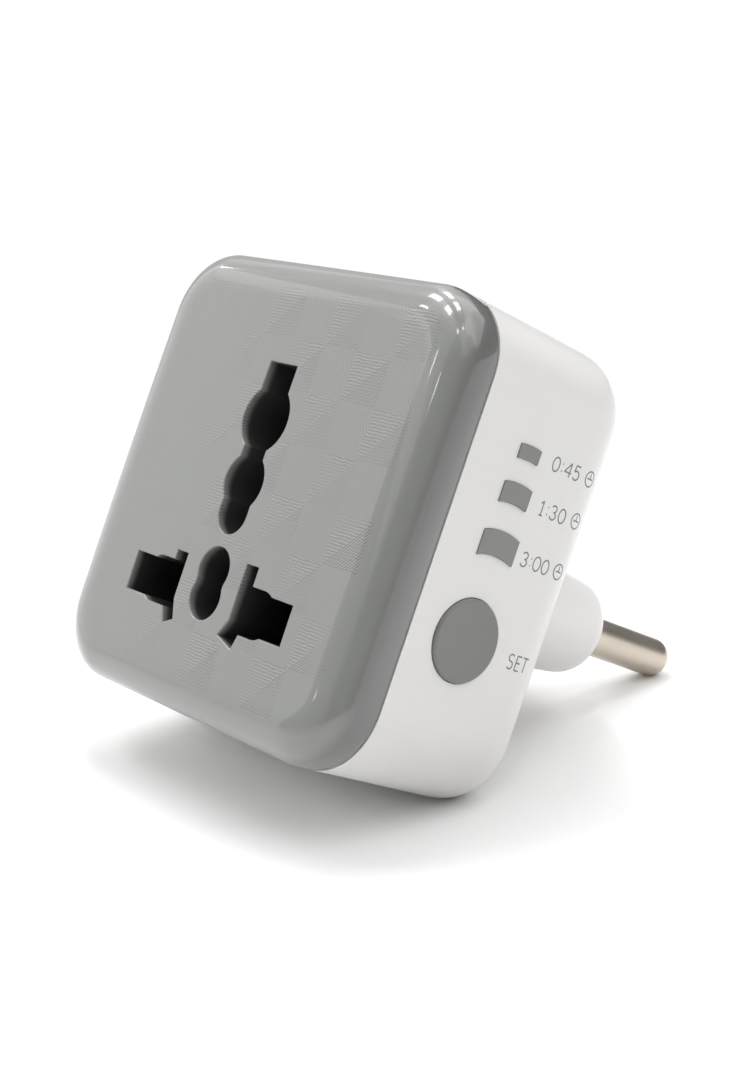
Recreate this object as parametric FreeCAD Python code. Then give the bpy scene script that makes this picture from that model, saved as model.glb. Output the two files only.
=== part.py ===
import FreeCAD, Part
import math
import os

from FreeCAD import Vector

# Plug-in countdown timer adapter: a rounded square body with a multi-standard
# socket in its front, a plug boss with two round pins at its back, and a button
# with three time windows on its right side. All sizes are in millimetres.
#
# Every piece is drawn from the centre of the socket face: x to the right, y
# from the face backwards, z up. At the end everything is moved so that the
# origin lies midway between the pins, on the end face of the plug boss.

# Overall body
BODY_WIDTH = 52.0
BODY_HEIGHT = 52.0
BODY_DEPTH = 28.9
CORNER_RADIUS = 8.2
FRONT_ROUND = 3.9
BACK_ROUND = 5.7
SIDE_DRAFT = 0.0136
SEAM_DEPTH = 6.1

# Walls and the joint between the two shells
WALL = 2.2
FACE_WALL = 2.2
BACK_WALL = 2.0
INNER_BACK_ROUND = 3.9
TONGUE_THICKNESS = 1.0
TONGUE_LENGTH = 2.5
TONGUE_GAP = 0.1

# Plug boss and pins
PIN_SPACING = 19.0
PIN_RADIUS = 2.4
PIN_LENGTH = 19.0
PIN_TIP_ROUND = 1.95
PIN_DROP = 2.95
PIN_ROOT_RADIUS = 2.0
PIN_SEAT = 0.05
PIN_GROOVE_DEPTH = 0.4
PIN_GROOVE_WIDTH = 1.2
PIN_TAIL_RADIUS = 1.0
BOSS_LENGTH = 16.3
BOSS_SPREAD = 23.8
BOSS_ROOT_RADIUS = 7.2
BOSS_END_RADIUS = 5.5
BOSS_END_ROUND = 3.4

# Earth opening of the socket: slot, two round holes and a rounded foot
EARTH_SLOT_WIDTH = 4.7
EARTH_TOP = 13.9
EARTH_UPPER_Z = 7.6
EARTH_UPPER_RADIUS = 3.87
EARTH_NECK_WIDTH = 3.9
EARTH_LOWER_Z = 0.3
EARTH_LOWER_RADIUS = 3.33
EARTH_FOOT_Z = -3.2
EARTH_FOOT_RADIUS = 2.45

# Centre opening: two round holes run together
CENTRE_UPPER_Z = -9.8
CENTRE_LOWER_Z = -12.8
CENTRE_RADIUS = 2.63
CENTRE_WAIST_WIDTH = 4.7

# Live and neutral openings
LINE_Z = -12.77
LINE_INNER_X = 5.35
LINE_OUTER_X = 14.6
LINE_HEIGHT = 4.45
ROUND_PIN_X = 9.5
ROUND_PIN_RADIUS = 2.65
BLADE_WIDTH = 2.0
BLADE_TOP_LEFT = -9.0
BLADE_TOP_RIGHT = -8.0
NOTCH_LEFT = [(-7.1, -15.0), (-6.0, -17.1), (-4.4, -16.4), (-5.35, -14.2)]
NOTCH_RIGHT = [(7.6, -15.0), (7.0, -17.1), (4.2, -16.2), (5.35, -14.2)]

# Guide tubes behind the face, and the contact holder behind them
TUBE_WALL = 1.2
TUBE_DEPTH = 7.0
HOLDER_GAP = 0.1
HOLDER_WALL = 1.4
CHAMBER_GAP = 0.25
HOLDER_TO_BOARD = 2.2

# Spring contacts
STRIP = 0.4
LEAF_OPENING = 4.3
LEAF_LENGTH = 11.0
LEAF_INNER_X = 7.9
TAIL_WIDTH = 1.6

# Case screws in the four corners
POST_INSET = 7.1
POST_RADIUS = 2.6
SCREW_RADIUS = 1.2
SCREW_HEAD_RADIUS = 2.25
SCREW_HEAD_HEIGHT = 1.6
SCREW_LENGTH = 9.0
SCREW_WELL_RADIUS = 2.6
SCREW_WELL_DEPTH = 4.6
SCREW_TUBE_RADIUS = 3.5
POST_TO_TUBE_Y = 20.0

# Boards
BOARD_THICKNESS = 1.6
BOARD_STANDOFF = 1.7
BOARD_EDGE_GAP = 1.0
CONTROL_THICKNESS = 1.0
CONTROL_GAP = 4.4
CONTROL_FRONT_Y = 7.6
CONTROL_BOTTOM = -14.0
CONTROL_TO_TUBE = 0.3
SOLDER_LENGTH = 0.6
LEAD_RADIUS = 0.35
WIRE_RADIUS = 0.3
LEAD_GAP = 0.05

# Button and its switch, on the right side
BUTTON_Y = 14.15
BUTTON_Z = -8.3
BUTTON_RADIUS = 4.53
BUTTON_GAP = 0.09
BUTTON_PROUD = 0.4
BUTTON_ROUND = 0.25
BUTTON_TRAVEL = 0.5
FLANGE_EXTRA = 0.9
FLANGE_THICKNESS = 0.9
FLANGE_GAP = 0.05
SWITCH_SIDE = 6.0
SWITCH_HEIGHT = 2.5
PLUNGER_RADIUS = 1.65
PLUNGER_GAP = 0.05
PLUNGER_DEPTH = 0.8
PLUNGER_TO_BUTTON = 0.05

# Time windows: straight upright ends, arched top and bottom
WINDOW_Y = 14.3
WINDOW_ARC_RADIUS = 8.5
WINDOW_PROUD = 0.2
WINDOW_GAP = 0.03
WINDOW_FLANGE = 0.6
WINDOW_FLANGE_THICKNESS = 0.7
WINDOWS = {
    "window_0h45": {"width": 3.1, "height": 1.55, "z": 12.2},
    "window_1h30": {"width": 4.2, "height": 2.23, "z": 7.68},
    "window_3h00": {"width": 5.35, "height": 2.75, "z": 2.12},
}
LED_SIZE = (0.8, 2.0, 1.25)
SHIELD_WALL = 1.0

# Relay
RELAY_WIDTH = 12.2
RELAY_HEIGHT = 19.2
RELAY_DEPTH = 15.3
RELAY_Z = 5.3
RELAY_WALL_GAP = 0.6
RELAY_SHELL = 0.8
RELAY_BASE = 1.6
COIL_RADIUS = 4.2
COIL_LENGTH = 8.0
COIL_FLANGE = 0.8
CORE_RADIUS = 1.6
YOKE_THICKNESS = 1.1
ARMATURE_THICKNESS = 1.0
ARMATURE_GAP = 0.55
ARMATURE_WIDTH = 9.0
CONTACT_TRAVEL = 0.8

# Board components
DROPPER_SIZE = (13.0, 11.0, 6.0)
SMOOTHING_RADIUS = 4.0
SMOOTHING_LENGTH = 12.0
VARISTOR_RADIUS = 4.5
VARISTOR_THICKNESS = 3.6
FUSE_RADIUS = 3.2
FUSE_LENGTH = 7.6
DIODE_RADIUS = 1.35
DIODE_LENGTH = 4.2
DIODE_PITCH = 3.0
RESISTOR_RADIUS = 1.2
RESISTOR_LENGTH = 6.4
LEAD_RISE = 0.9

# Places that follow from the sizes above
INNER_X = BODY_WIDTH / 2 - WALL
INNER_Z = BODY_HEIGHT / 2 - WALL
INNER_CORNER = CORNER_RADIUS - WALL
INNER_BACK_Y = BODY_DEPTH - BACK_WALL
BOARD_BACK_Y = INNER_BACK_Y - BOARD_STANDOFF
BOARD_FRONT_Y = BOARD_BACK_Y - BOARD_THICKNESS
HOLDER_FRONT_Y = TUBE_DEPTH + HOLDER_GAP
HOLDER_BACK_Y = BOARD_FRONT_Y - HOLDER_TO_BOARD
CONTACT_BACK_Y = HOLDER_BACK_Y - HOLDER_WALL
CONTROL_OUTER_X = INNER_X - CONTROL_GAP
CONTROL_INNER_X = CONTROL_OUTER_X - CONTROL_THICKNESS
POST_X = BODY_WIDTH / 2 - POST_INSET
POST_Z = BODY_HEIGHT / 2 - POST_INSET
POSTS = [(sx * POST_X, sz * POST_Z) for sx in (-1, 1) for sz in (-1, 1)]
CONTROL_TOP = POST_Z - SCREW_TUBE_RADIUS - CONTROL_TO_TUBE
FLANGE_OUTER_X = INNER_X - FLANGE_GAP
FLANGE_INNER_X = FLANGE_OUTER_X - FLANGE_THICKNESS
PLUNGER_TIP_X = FLANGE_INNER_X - PLUNGER_TO_BUTTON
SWITCH_TOP_X = CONTROL_OUTER_X + SWITCH_HEIGHT
RELAY_X = -INNER_X + RELAY_WALL_GAP + RELAY_WIDTH / 2
RELAY_FRONT_Y = BOARD_FRONT_Y - RELAY_DEPTH
BOSS_END_Y = BODY_DEPTH + BOSS_LENGTH
PIN_END_Y = BOSS_END_Y + PIN_LENGTH


# Basic shapes

def box(x0, x1, y0, y1, z0, z1):
    return Part.makeBox(x1 - x0, y1 - y0, z1 - z0, Vector(x0, y0, z0))


def rod_y(x, z, radius, y0, y1):
    return Part.makeCylinder(radius, y1 - y0, Vector(x, y0, z), Vector(0, 1, 0))


def rod_x(y, z, radius, x0, x1):
    return Part.makeCylinder(radius, x1 - x0, Vector(x0, y, z), Vector(1, 0, 0))


def fuse_all(shapes):
    first = shapes[0]
    if len(shapes) == 1:
        return first
    return first.fuse(shapes[1:]).removeSplitter()


def rounded_wire(half_x, half_z, radius, y):
    """Outline of a rounded rectangle in the plane at depth y."""
    flat_x = half_x - radius
    flat_z = half_z - radius
    turn = radius * math.sqrt(0.5)
    edges = []
    corners = [(1, 1), (-1, 1), (-1, -1), (1, -1)]
    for index, (sx, sz) in enumerate(corners):
        side = Vector(sx * half_x, y, sz * flat_z)
        top = Vector(sx * flat_x, y, sz * half_z)
        middle = Vector(sx * (flat_x + turn), y, sz * (flat_z + turn))
        start, end = (side, top) if sx == sz else (top, side)
        edges.append(Part.Arc(start, middle, end).toShape())
        nx, nz = corners[(index + 1) % 4]
        if nx == nz:
            following = Vector(nx * half_x, y, nz * flat_z)
        else:
            following = Vector(nx * flat_x, y, nz * half_z)
        edges.append(Part.LineSegment(end, following).toShape())
    return Part.Wire(edges)


def rounded_block(half_x, half_z, radius, y0, y1):
    face = Part.Face(rounded_wire(half_x, half_z, radius, y0))
    return face.extrude(Vector(0, y1 - y0, 0))


def slot_wire(spread, radius, y, z):
    """Outline of a slot with round ends in the plane at depth y."""
    half = spread / 2
    upper_left = Vector(-half, y, z + radius)
    upper_right = Vector(half, y, z + radius)
    lower_left = Vector(-half, y, z - radius)
    lower_right = Vector(half, y, z - radius)
    return Part.Wire([
        Part.LineSegment(upper_left, upper_right).toShape(),
        Part.Arc(upper_right, Vector(half + radius, y, z), lower_right).toShape(),
        Part.LineSegment(lower_right, lower_left).toShape(),
        Part.Arc(lower_left, Vector(-half - radius, y, z), upper_left).toShape(),
    ])


def edges_at_y(shape, y):
    return [edge for edge in shape.Edges
            if abs(edge.BoundBox.YMin - y) < 1e-4 and abs(edge.BoundBox.YMax - y) < 1e-4]


def edges_at_x(shape, x):
    return [edge for edge in shape.Edges
            if abs(edge.BoundBox.XMin - x) < 1e-4 and abs(edge.BoundBox.XMax - x) < 1e-4]


def prism_y(points, y0, y1, grow):
    corners = [Vector(x, y0, z) for x, z in points]
    face = Part.Face(Part.makePolygon(corners + corners[:1]))
    if grow > 0:
        face = face.makeOffset2D(grow, 2)
    return face.extrude(Vector(0, y1 - y0, 0))


# Socket openings, each as a tool solid that can be grown into a wall around it

def earth_opening(grow, y0, y1):
    slot = EARTH_SLOT_WIDTH / 2 + grow
    neck = EARTH_NECK_WIDTH / 2 + grow
    foot = EARTH_FOOT_RADIUS + grow
    return fuse_all([
        box(-slot, slot, y0, y1, EARTH_UPPER_Z, EARTH_TOP + grow),
        rod_y(0, EARTH_UPPER_Z, EARTH_UPPER_RADIUS + grow, y0, y1),
        box(-neck, neck, y0, y1, EARTH_LOWER_Z, EARTH_UPPER_Z),
        rod_y(0, EARTH_LOWER_Z, EARTH_LOWER_RADIUS + grow, y0, y1),
        box(-foot, foot, y0, y1, EARTH_FOOT_Z, EARTH_LOWER_Z),
        rod_y(0, EARTH_FOOT_Z, foot, y0, y1),
    ])


def centre_opening(grow, y0, y1):
    waist = CENTRE_WAIST_WIDTH / 2 + grow
    return fuse_all([
        rod_y(0, CENTRE_UPPER_Z, CENTRE_RADIUS + grow, y0, y1),
        rod_y(0, CENTRE_LOWER_Z, CENTRE_RADIUS + grow, y0, y1),
        box(-waist, waist, y0, y1, CENTRE_LOWER_Z, CENTRE_UPPER_Z),
    ])


def line_opening(side, grow, y0, y1):
    """Opening for one line pin: wide slot, round pin, upright and slanted blade."""
    blade_top = BLADE_TOP_RIGHT if side > 0 else BLADE_TOP_LEFT
    notch = NOTCH_RIGHT if side > 0 else NOTCH_LEFT

    def span(x0, x1, z0, z1):
        low, high = sorted((side * x0, side * x1))
        return box(low, high, y0, y1, z0, z1)

    half = LINE_HEIGHT / 2 + grow
    bulge = ROUND_PIN_RADIUS + grow
    inner = LINE_INNER_X - grow
    blade_outer = LINE_INNER_X + BLADE_WIDTH + grow
    return fuse_all([
        span(inner, LINE_OUTER_X + grow, LINE_Z - half, LINE_Z + half),
        span(inner, ROUND_PIN_X, LINE_Z - bulge, LINE_Z + bulge),
        rod_y(side * ROUND_PIN_X, LINE_Z, bulge, y0, y1),
        span(inner, blade_outer, LINE_Z, blade_top + grow),
        prism_y(notch, y0, y1, grow),
    ])


def all_openings(grow, y0, y1):
    return [
        earth_opening(grow, y0, y1),
        centre_opening(grow, y0, y1),
        line_opening(-1, grow, y0, y1),
        line_opening(1, grow, y0, y1),
    ]


# Shells

def front_cover():
    """Grey socket cover with guide tubes, corner posts and a tongue at the seam."""
    outer = rounded_block(BODY_WIDTH / 2, BODY_HEIGHT / 2, CORNER_RADIUS, 0, SEAM_DEPTH)
    outer = outer.makeFillet(FRONT_ROUND, edges_at_y(outer, 0))
    tongue_x = INNER_X + TONGUE_THICKNESS
    tongue_z = INNER_Z + TONGUE_THICKNESS
    tongue_corner = INNER_CORNER + TONGUE_THICKNESS
    tongue_end = SEAM_DEPTH + TONGUE_LENGTH
    tongue = rounded_block(tongue_x, tongue_z, tongue_corner, SEAM_DEPTH, tongue_end)
    cavity = rounded_block(INNER_X, INNER_Z, INNER_CORNER, FACE_WALL, tongue_end)
    shell = outer.fuse(tongue).cut(cavity)
    tubes = all_openings(TUBE_WALL, FACE_WALL / 2, TUBE_DEPTH)
    posts = [rod_y(x, z, POST_RADIUS, FACE_WALL / 2, POST_TO_TUBE_Y) for x, z in POSTS]
    shell = fuse_all([shell] + tubes + posts)
    pilot_start = POST_TO_TUBE_Y - SCREW_LENGTH
    pilots = [rod_y(x, z, SCREW_RADIUS, pilot_start, POST_TO_TUBE_Y) for x, z in POSTS]
    return shell.cut(all_openings(0, -1, TUBE_DEPTH + 1) + pilots).removeSplitter()


def window_face(sizes, grow, x):
    """Arched window outline in the plane at x: upright ends, curved top and bottom."""
    half = sizes["width"] / 2 + grow
    low = sizes["z"] - sizes["height"] / 2 - grow
    high = sizes["z"] + sizes["height"] / 2 + grow
    rise = WINDOW_ARC_RADIUS - math.sqrt(WINDOW_ARC_RADIUS ** 2 - half ** 2)
    front = WINDOW_Y - half
    back = WINDOW_Y + half
    corners = [Vector(x, front, high - rise / 2), Vector(x, back, high - rise / 2),
               Vector(x, back, low - rise / 2), Vector(x, front, low - rise / 2)]
    edges = [
        Part.Arc(corners[0], Vector(x, WINDOW_Y, high + rise / 2), corners[1]).toShape(),
        Part.LineSegment(corners[1], corners[2]).toShape(),
        Part.Arc(corners[2], Vector(x, WINDOW_Y, low + rise / 2), corners[3]).toShape(),
        Part.LineSegment(corners[3], corners[0]).toShape(),
    ]
    return Part.Face(Part.Wire(edges))


def wall_x_at(y):
    """Outer surface of the drafted right wall at depth y."""
    return BODY_WIDTH / 2 - SIDE_DRAFT * (y - SEAM_DEPTH)


def plug_boss():
    root_y = INNER_BACK_Y
    root = slot_wire(BOSS_SPREAD, BOSS_ROOT_RADIUS, root_y, -PIN_DROP)
    end = slot_wire(BOSS_SPREAD, BOSS_END_RADIUS, BOSS_END_Y, -PIN_DROP)
    boss = Part.makeLoft([root, end], True, True)
    return boss.makeFillet(BOSS_END_ROUND, edges_at_y(boss, BOSS_END_Y))


def rear_housing(pins):
    """White shell with the plug boss moulded round the pins and screw tubes inside."""
    shrink = SIDE_DRAFT * (BODY_DEPTH - SEAM_DEPTH)
    seam = rounded_wire(BODY_WIDTH / 2, BODY_HEIGHT / 2, CORNER_RADIUS, SEAM_DEPTH)
    back = rounded_wire(BODY_WIDTH / 2 - shrink, BODY_HEIGHT / 2 - shrink,
                        CORNER_RADIUS - shrink, BODY_DEPTH)
    outer = Part.makeLoft([seam, back], True, True)
    outer = outer.makeFillet(BACK_ROUND, edges_at_y(outer, BODY_DEPTH))
    cavity = rounded_block(INNER_X, INNER_Z, INNER_CORNER, SEAM_DEPTH, INNER_BACK_Y)
    cavity = cavity.makeFillet(INNER_BACK_ROUND, edges_at_y(cavity, INNER_BACK_Y))
    rebate_side = TONGUE_THICKNESS + TONGUE_GAP
    rebate = rounded_block(INNER_X + rebate_side, INNER_Z + rebate_side,
                           INNER_CORNER + rebate_side,
                           SEAM_DEPTH, SEAM_DEPTH + TONGUE_LENGTH + TONGUE_GAP)
    shell = outer.cut([cavity, rebate])
    tube_start = POST_TO_TUBE_Y + HOLDER_GAP
    tubes = [rod_y(x, z, SCREW_TUBE_RADIUS, tube_start, INNER_BACK_Y) for x, z in POSTS]
    ribs = [box(x - 1, x + 1, BOARD_BACK_Y, INNER_BACK_Y, z - 2.5, z + 2.5)
            for x in (-INNER_X + 4.4, INNER_X - 4.4) for z in (-8.0, 8.0)]
    body = fuse_all([shell, plug_boss()] + tubes + ribs)
    well_floor = BODY_DEPTH - SCREW_WELL_DEPTH
    cuts = list(pins)
    for x, z in POSTS:
        cuts.append(rod_y(x, z, SCREW_RADIUS, tube_start, BODY_DEPTH))
        cuts.append(rod_y(x, z, SCREW_WELL_RADIUS, well_floor, BODY_DEPTH + 1))
    cuts.append(rod_x(BUTTON_Y, BUTTON_Z, BUTTON_RADIUS + BUTTON_GAP, INNER_X - 1, BODY_WIDTH))
    for sizes in WINDOWS.values():
        face = window_face(sizes, WINDOW_GAP, INNER_X - 1)
        cuts.append(face.extrude(Vector(BODY_WIDTH / 2, 0, 0)))
    return body.cut(cuts)


def plug_pin(side):
    """Round plug pin with a rounded tip, a thinner grooved root in the boss, and a tail."""
    x = side * PIN_SPACING / 2
    z = -PIN_DROP
    shoulder_y = BOSS_END_Y - PIN_SEAT
    shank = rod_y(x, z, PIN_RADIUS, shoulder_y, PIN_END_Y)
    shank = shank.makeFillet(PIN_TIP_ROUND, edges_at_y(shank, PIN_END_Y))
    root = rod_y(x, z, PIN_ROOT_RADIUS, INNER_BACK_Y, shoulder_y)
    for share in (0.3, 0.6):
        groove_y = BODY_DEPTH + share * BOSS_LENGTH
        ring = rod_y(x, z, PIN_ROOT_RADIUS + 1, groove_y, groove_y + PIN_GROOVE_WIDTH)
        core = rod_y(x, z, PIN_ROOT_RADIUS - PIN_GROOVE_DEPTH, groove_y, groove_y + PIN_GROOVE_WIDTH)
        root = root.cut(ring.cut(core))
    tail = rod_y(x, z, PIN_TAIL_RADIUS, BOARD_FRONT_Y - SOLDER_LENGTH, INNER_BACK_Y)
    return fuse_all([shank, root, tail])


def case_screws():
    """Four pan-head self-tapping screws that pull the shells together from the back."""
    well_floor = BODY_DEPTH - SCREW_WELL_DEPTH
    tip = POST_TO_TUBE_Y - SCREW_LENGTH + 1
    screws = []
    for x, z in POSTS:
        head = rod_y(x, z, SCREW_HEAD_RADIUS, well_floor, well_floor + SCREW_HEAD_HEIGHT)
        head = head.makeFillet(0.7, edges_at_y(head, well_floor + SCREW_HEAD_HEIGHT))
        shank = rod_y(x, z, SCREW_RADIUS, tip, well_floor)
        shank = shank.makeChamfer(0.6, edges_at_y(shank, tip))
        top = well_floor + SCREW_HEAD_HEIGHT
        cross = [box(x - 1.3, x + 1.3, top - 0.9, top + 1, z - 0.3, z + 0.3),
                 box(x - 0.3, x + 0.3, top - 0.9, top + 1, z - 1.3, z + 1.3)]
        screws.append(head.fuse(shank).cut(cross))
    return Part.makeCompound(screws)


# Socket interior

def contact_holder():
    """Dark insulating block with a chamber behind each socket opening."""
    side = LINE_OUTER_X + CHAMBER_GAP + HOLDER_WALL
    low = NOTCH_LEFT[1][1] - CHAMBER_GAP - 1.0
    high = BLADE_TOP_RIGHT + CHAMBER_GAP + HOLDER_WALL
    tower = EARTH_UPPER_RADIUS + CHAMBER_GAP + HOLDER_WALL
    top = EARTH_TOP + CHAMBER_GAP + HOLDER_WALL
    block = fuse_all([
        box(-side, side, HOLDER_FRONT_Y, HOLDER_BACK_Y, low, high),
        box(-tower, tower, HOLDER_FRONT_Y, HOLDER_BACK_Y, high - 1, top),
    ])
    start = HOLDER_FRONT_Y - 1
    cuts = [
        earth_opening(CHAMBER_GAP, start, HOLDER_BACK_Y + 1),
        centre_opening(CHAMBER_GAP, start, HOLDER_BACK_Y + 1),
    ]
    for sign in (-1, 1):
        cuts.append(line_opening(sign, CHAMBER_GAP, start, CONTACT_BACK_Y))
        cuts.append(contact_chamber(sign))
        cuts.append(contact_tail(sign, 0.1))
    for x, z in POSTS:
        clear = SCREW_TUBE_RADIUS + 0.3
        cuts.append(rod_y(x, z, clear, start, HOLDER_BACK_Y + 1))
    holder = block.cut(cuts)
    feet = [box(x - 1, x + 1, HOLDER_BACK_Y - 0.5, BOARD_FRONT_Y, z - 0.6, z + 0.6)
            for x, z in ((-12.0, high - 0.8), (12.0, high - 0.8), (0, top - 0.7),
                         (-12.0, low + 0.7), (12.0, low + 0.7))]
    return fuse_all([holder] + feet)


def contact_span():
    """Inner and outer x, and lower and upper z, of a spring contact."""
    grip = LEAF_OPENING / 2 + STRIP
    return (LINE_INNER_X - STRIP - 0.05, LINE_OUTER_X - 0.2, LINE_Z - grip, LINE_Z + grip)


def contact_chamber(side):
    inner, outer, low, high = contact_span()
    low_x, high_x = sorted((side * (inner - 0.15), side * (outer + 0.15)))
    return box(low_x, high_x, HOLDER_FRONT_Y - 1, CONTACT_BACK_Y, low - 0.15, high + 0.15)


def contact_tail(side, grow):
    inner, outer, low, high = contact_span()
    middle = side * (inner + outer) / 2
    half = TAIL_WIDTH / 2 + grow
    end = BOARD_BACK_Y + SOLDER_LENGTH + grow
    return box(middle - half, middle + half, CONTACT_BACK_Y - STRIP, end,
               LINE_Z - STRIP / 2 - grow, LINE_Z + STRIP / 2 + grow)


def spring_contact(side):
    """Bronze strip: back plate, two grip leaves, a blade leaf and a solder tail."""
    inner, outer, low, high = contact_span()

    def span(x0, x1, y0, y1, z0, z1):
        low_x, high_x = sorted((side * x0, side * x1))
        return box(low_x, high_x, y0, y1, z0, z1)

    back = CONTACT_BACK_Y
    front = back - LEAF_LENGTH
    return fuse_all([
        span(inner, outer, back - STRIP, back, low, high),
        span(LEAF_INNER_X, outer, front, back, high - STRIP, high),
        span(LEAF_INNER_X, outer, front, back, low, low + STRIP),
        span(inner, inner + STRIP, front, back, low, high),
        contact_tail(side, 0),
    ])


# Boards and what stands on them

def lead(x, z, y_start):
    return rod_y(x, z, LEAD_RADIUS, y_start, BOARD_BACK_Y + SOLDER_LENGTH)


def lead_hole(x, z, radius):
    return rod_y(x, z, radius + LEAD_GAP, BOARD_FRONT_Y - 1, BOARD_BACK_Y + 1)


def smoothing_place():
    return (EARTH_UPPER_RADIUS + HOLDER_WALL + SMOOTHING_RADIUS + 1.2,
            INNER_Z - SMOOTHING_RADIUS - 2.6)


def varistor_place():
    return (EARTH_UPPER_RADIUS + HOLDER_WALL + VARISTOR_THICKNESS / 2 + 1.2, 6.0)


def fuse_place():
    return (PIN_SPACING / 2 + PIN_TAIL_RADIUS + FUSE_RADIUS, -1.6)


def dropper_place():
    return (-DROPPER_SIZE[0] / 2 - 2.0, INNER_Z - DROPPER_SIZE[2] / 2 - 0.9)


def diode_places():
    x = -INNER_X + BOARD_EDGE_GAP + DIODE_LENGTH / 2 + LEAD_RISE + 0.7
    return [(x, -7.3 - row * DIODE_PITCH) for row in range(3)]


def resistor_places():
    return [(-RESISTOR_LENGTH, -INNER_Z + RESISTOR_RADIUS + 1.0),
            (RESISTOR_LENGTH, -INNER_Z + RESISTOR_RADIUS + 1.0)]


def relay_pins():
    half_x = RELAY_WIDTH / 2 - 2.0
    half_z = RELAY_HEIGHT / 2 - 2.0
    return [(RELAY_X - half_x, RELAY_Z + half_z), (RELAY_X + half_x, RELAY_Z + half_z),
            (RELAY_X - half_x, RELAY_Z - half_z), (RELAY_X + half_x, RELAY_Z - half_z),
            (RELAY_X, RELAY_Z - half_z)]


def axial_ends(x, length):
    reach = length / 2 + LEAD_RISE
    return (x - reach, x + reach)


def lead_places():
    places = list(relay_pins())
    x, z = smoothing_place()
    places += [(x, z - 1.8), (x, z + 1.8)]
    x, z = varistor_place()
    places += [(x, z - 3.0), (x, z + 3.0)]
    x, z = fuse_place()
    places += [(x, z - 2.5), (x, z + 2.5)]
    x, z = dropper_place()
    places += [(x - 5.0, z), (x + 5.0, z)]
    for x, z in diode_places():
        places += [(end, z) for end in axial_ends(x, DIODE_LENGTH)]
    for x, z in resistor_places():
        places += [(end, z) for end in axial_ends(x, RESISTOR_LENGTH)]
    places += header_places()
    return places


def header_places():
    return [(CONTROL_INNER_X - 1.6, CONTROL_TOP - 1.4 - row * 2.0) for row in range(4)]


def main_board():
    """Circuit board across the back, drilled for every lead and the pin tails."""
    half_x = INNER_X - BOARD_EDGE_GAP
    half_z = INNER_Z - BOARD_EDGE_GAP
    corner = INNER_CORNER - BOARD_EDGE_GAP
    board = rounded_block(half_x, half_z, corner, BOARD_FRONT_Y, BOARD_BACK_Y)
    cuts = [rod_y(x, z, SCREW_TUBE_RADIUS + 0.3, 0, BODY_DEPTH) for x, z in POSTS]
    cuts += [lead_hole(x, z, LEAD_RADIUS) for x, z in lead_places()]
    for side in (-1, 1):
        cuts.append(lead_hole(side * PIN_SPACING / 2, -PIN_DROP, PIN_TAIL_RADIUS))
        cuts.append(contact_tail(side, LEAD_GAP))
    return board.cut(cuts)


def round_component(place, radius, length, spread):
    x, z = place
    base = BOARD_FRONT_Y - LEAD_RISE / 2
    can = rod_y(x, z, radius, base - length, base)
    can = can.makeFillet(0.5, edges_at_y(can, base - length))
    leads = [lead(x, z - spread, base), lead(x, z + spread, base)]
    return fuse_all([can] + leads)


def varistor():
    """Coated disc standing on its two leads."""
    x, z = varistor_place()
    centre_y = BOARD_FRONT_Y - LEAD_RISE - VARISTOR_RADIUS
    half = VARISTOR_THICKNESS / 2
    disc = rod_x(centre_y, z, VARISTOR_RADIUS, x - half, x + half)
    disc = disc.makeFillet(1.0, edges_at_x(disc, x - half) + edges_at_x(disc, x + half))
    leads = [lead(x, z - 3.0, centre_y), lead(x, z + 3.0, centre_y)]
    return fuse_all([disc] + leads)


def dropper_capacitor():
    x, z = dropper_place()
    width, height, thickness = DROPPER_SIZE
    case = box(x - width / 2, x + width / 2, BOARD_FRONT_Y - height, BOARD_FRONT_Y,
               z - thickness / 2, z + thickness / 2)
    case = case.makeFillet(0.5, edges_at_y(case, BOARD_FRONT_Y - height))
    return fuse_all([case, lead(x - 5.0, z, BOARD_FRONT_Y - 1), lead(x + 5.0, z, BOARD_FRONT_Y - 1)])


def axial_component(place, radius, length):
    """Cylinder lying on the board with a lead bent down at each end."""
    x, z = place
    y = BOARD_FRONT_Y - radius - 0.2
    left, right = axial_ends(x, length)
    body = rod_x(y, z, radius, x - length / 2, x + length / 2)
    wire = rod_x(y, z, WIRE_RADIUS, left, right)
    return fuse_all([body, wire, lead(left, z, y - LEAD_RADIUS), lead(right, z, y - LEAD_RADIUS)])


def axial_group(places, radius, length):
    return Part.makeCompound([axial_component(place, radius, length) for place in places])


def control_board():
    """Upright board behind the right wall that carries the switch and the lights."""
    board = box(CONTROL_INNER_X, CONTROL_OUTER_X, CONTROL_FRONT_Y, BOARD_FRONT_Y,
                CONTROL_BOTTOM, CONTROL_TOP)
    holes = []
    for x, z in header_places():
        y = BOARD_FRONT_Y - 1.6
        holes.append(rod_x(y, z, LEAD_RADIUS + LEAD_GAP, CONTROL_INNER_X - 1, CONTROL_OUTER_X + 1))
    return board.cut(holes)


def link_header():
    """Angle pin strip that joins the two boards electrically."""
    places = header_places()
    x = places[0][0]
    y = BOARD_FRONT_Y - 1.6
    strip = box(x - 1.1, CONTROL_INNER_X, BOARD_FRONT_Y - 2.7, BOARD_FRONT_Y - 0.05,
                places[-1][1] - 1.0, places[0][1] + 1.0)
    parts = [strip]
    for x, z in places:
        parts.append(lead(x, z, y))
        parts.append(rod_x(y, z, LEAD_RADIUS, x, CONTROL_OUTER_X + SOLDER_LENGTH / 2))
    return fuse_all(parts)


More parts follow.
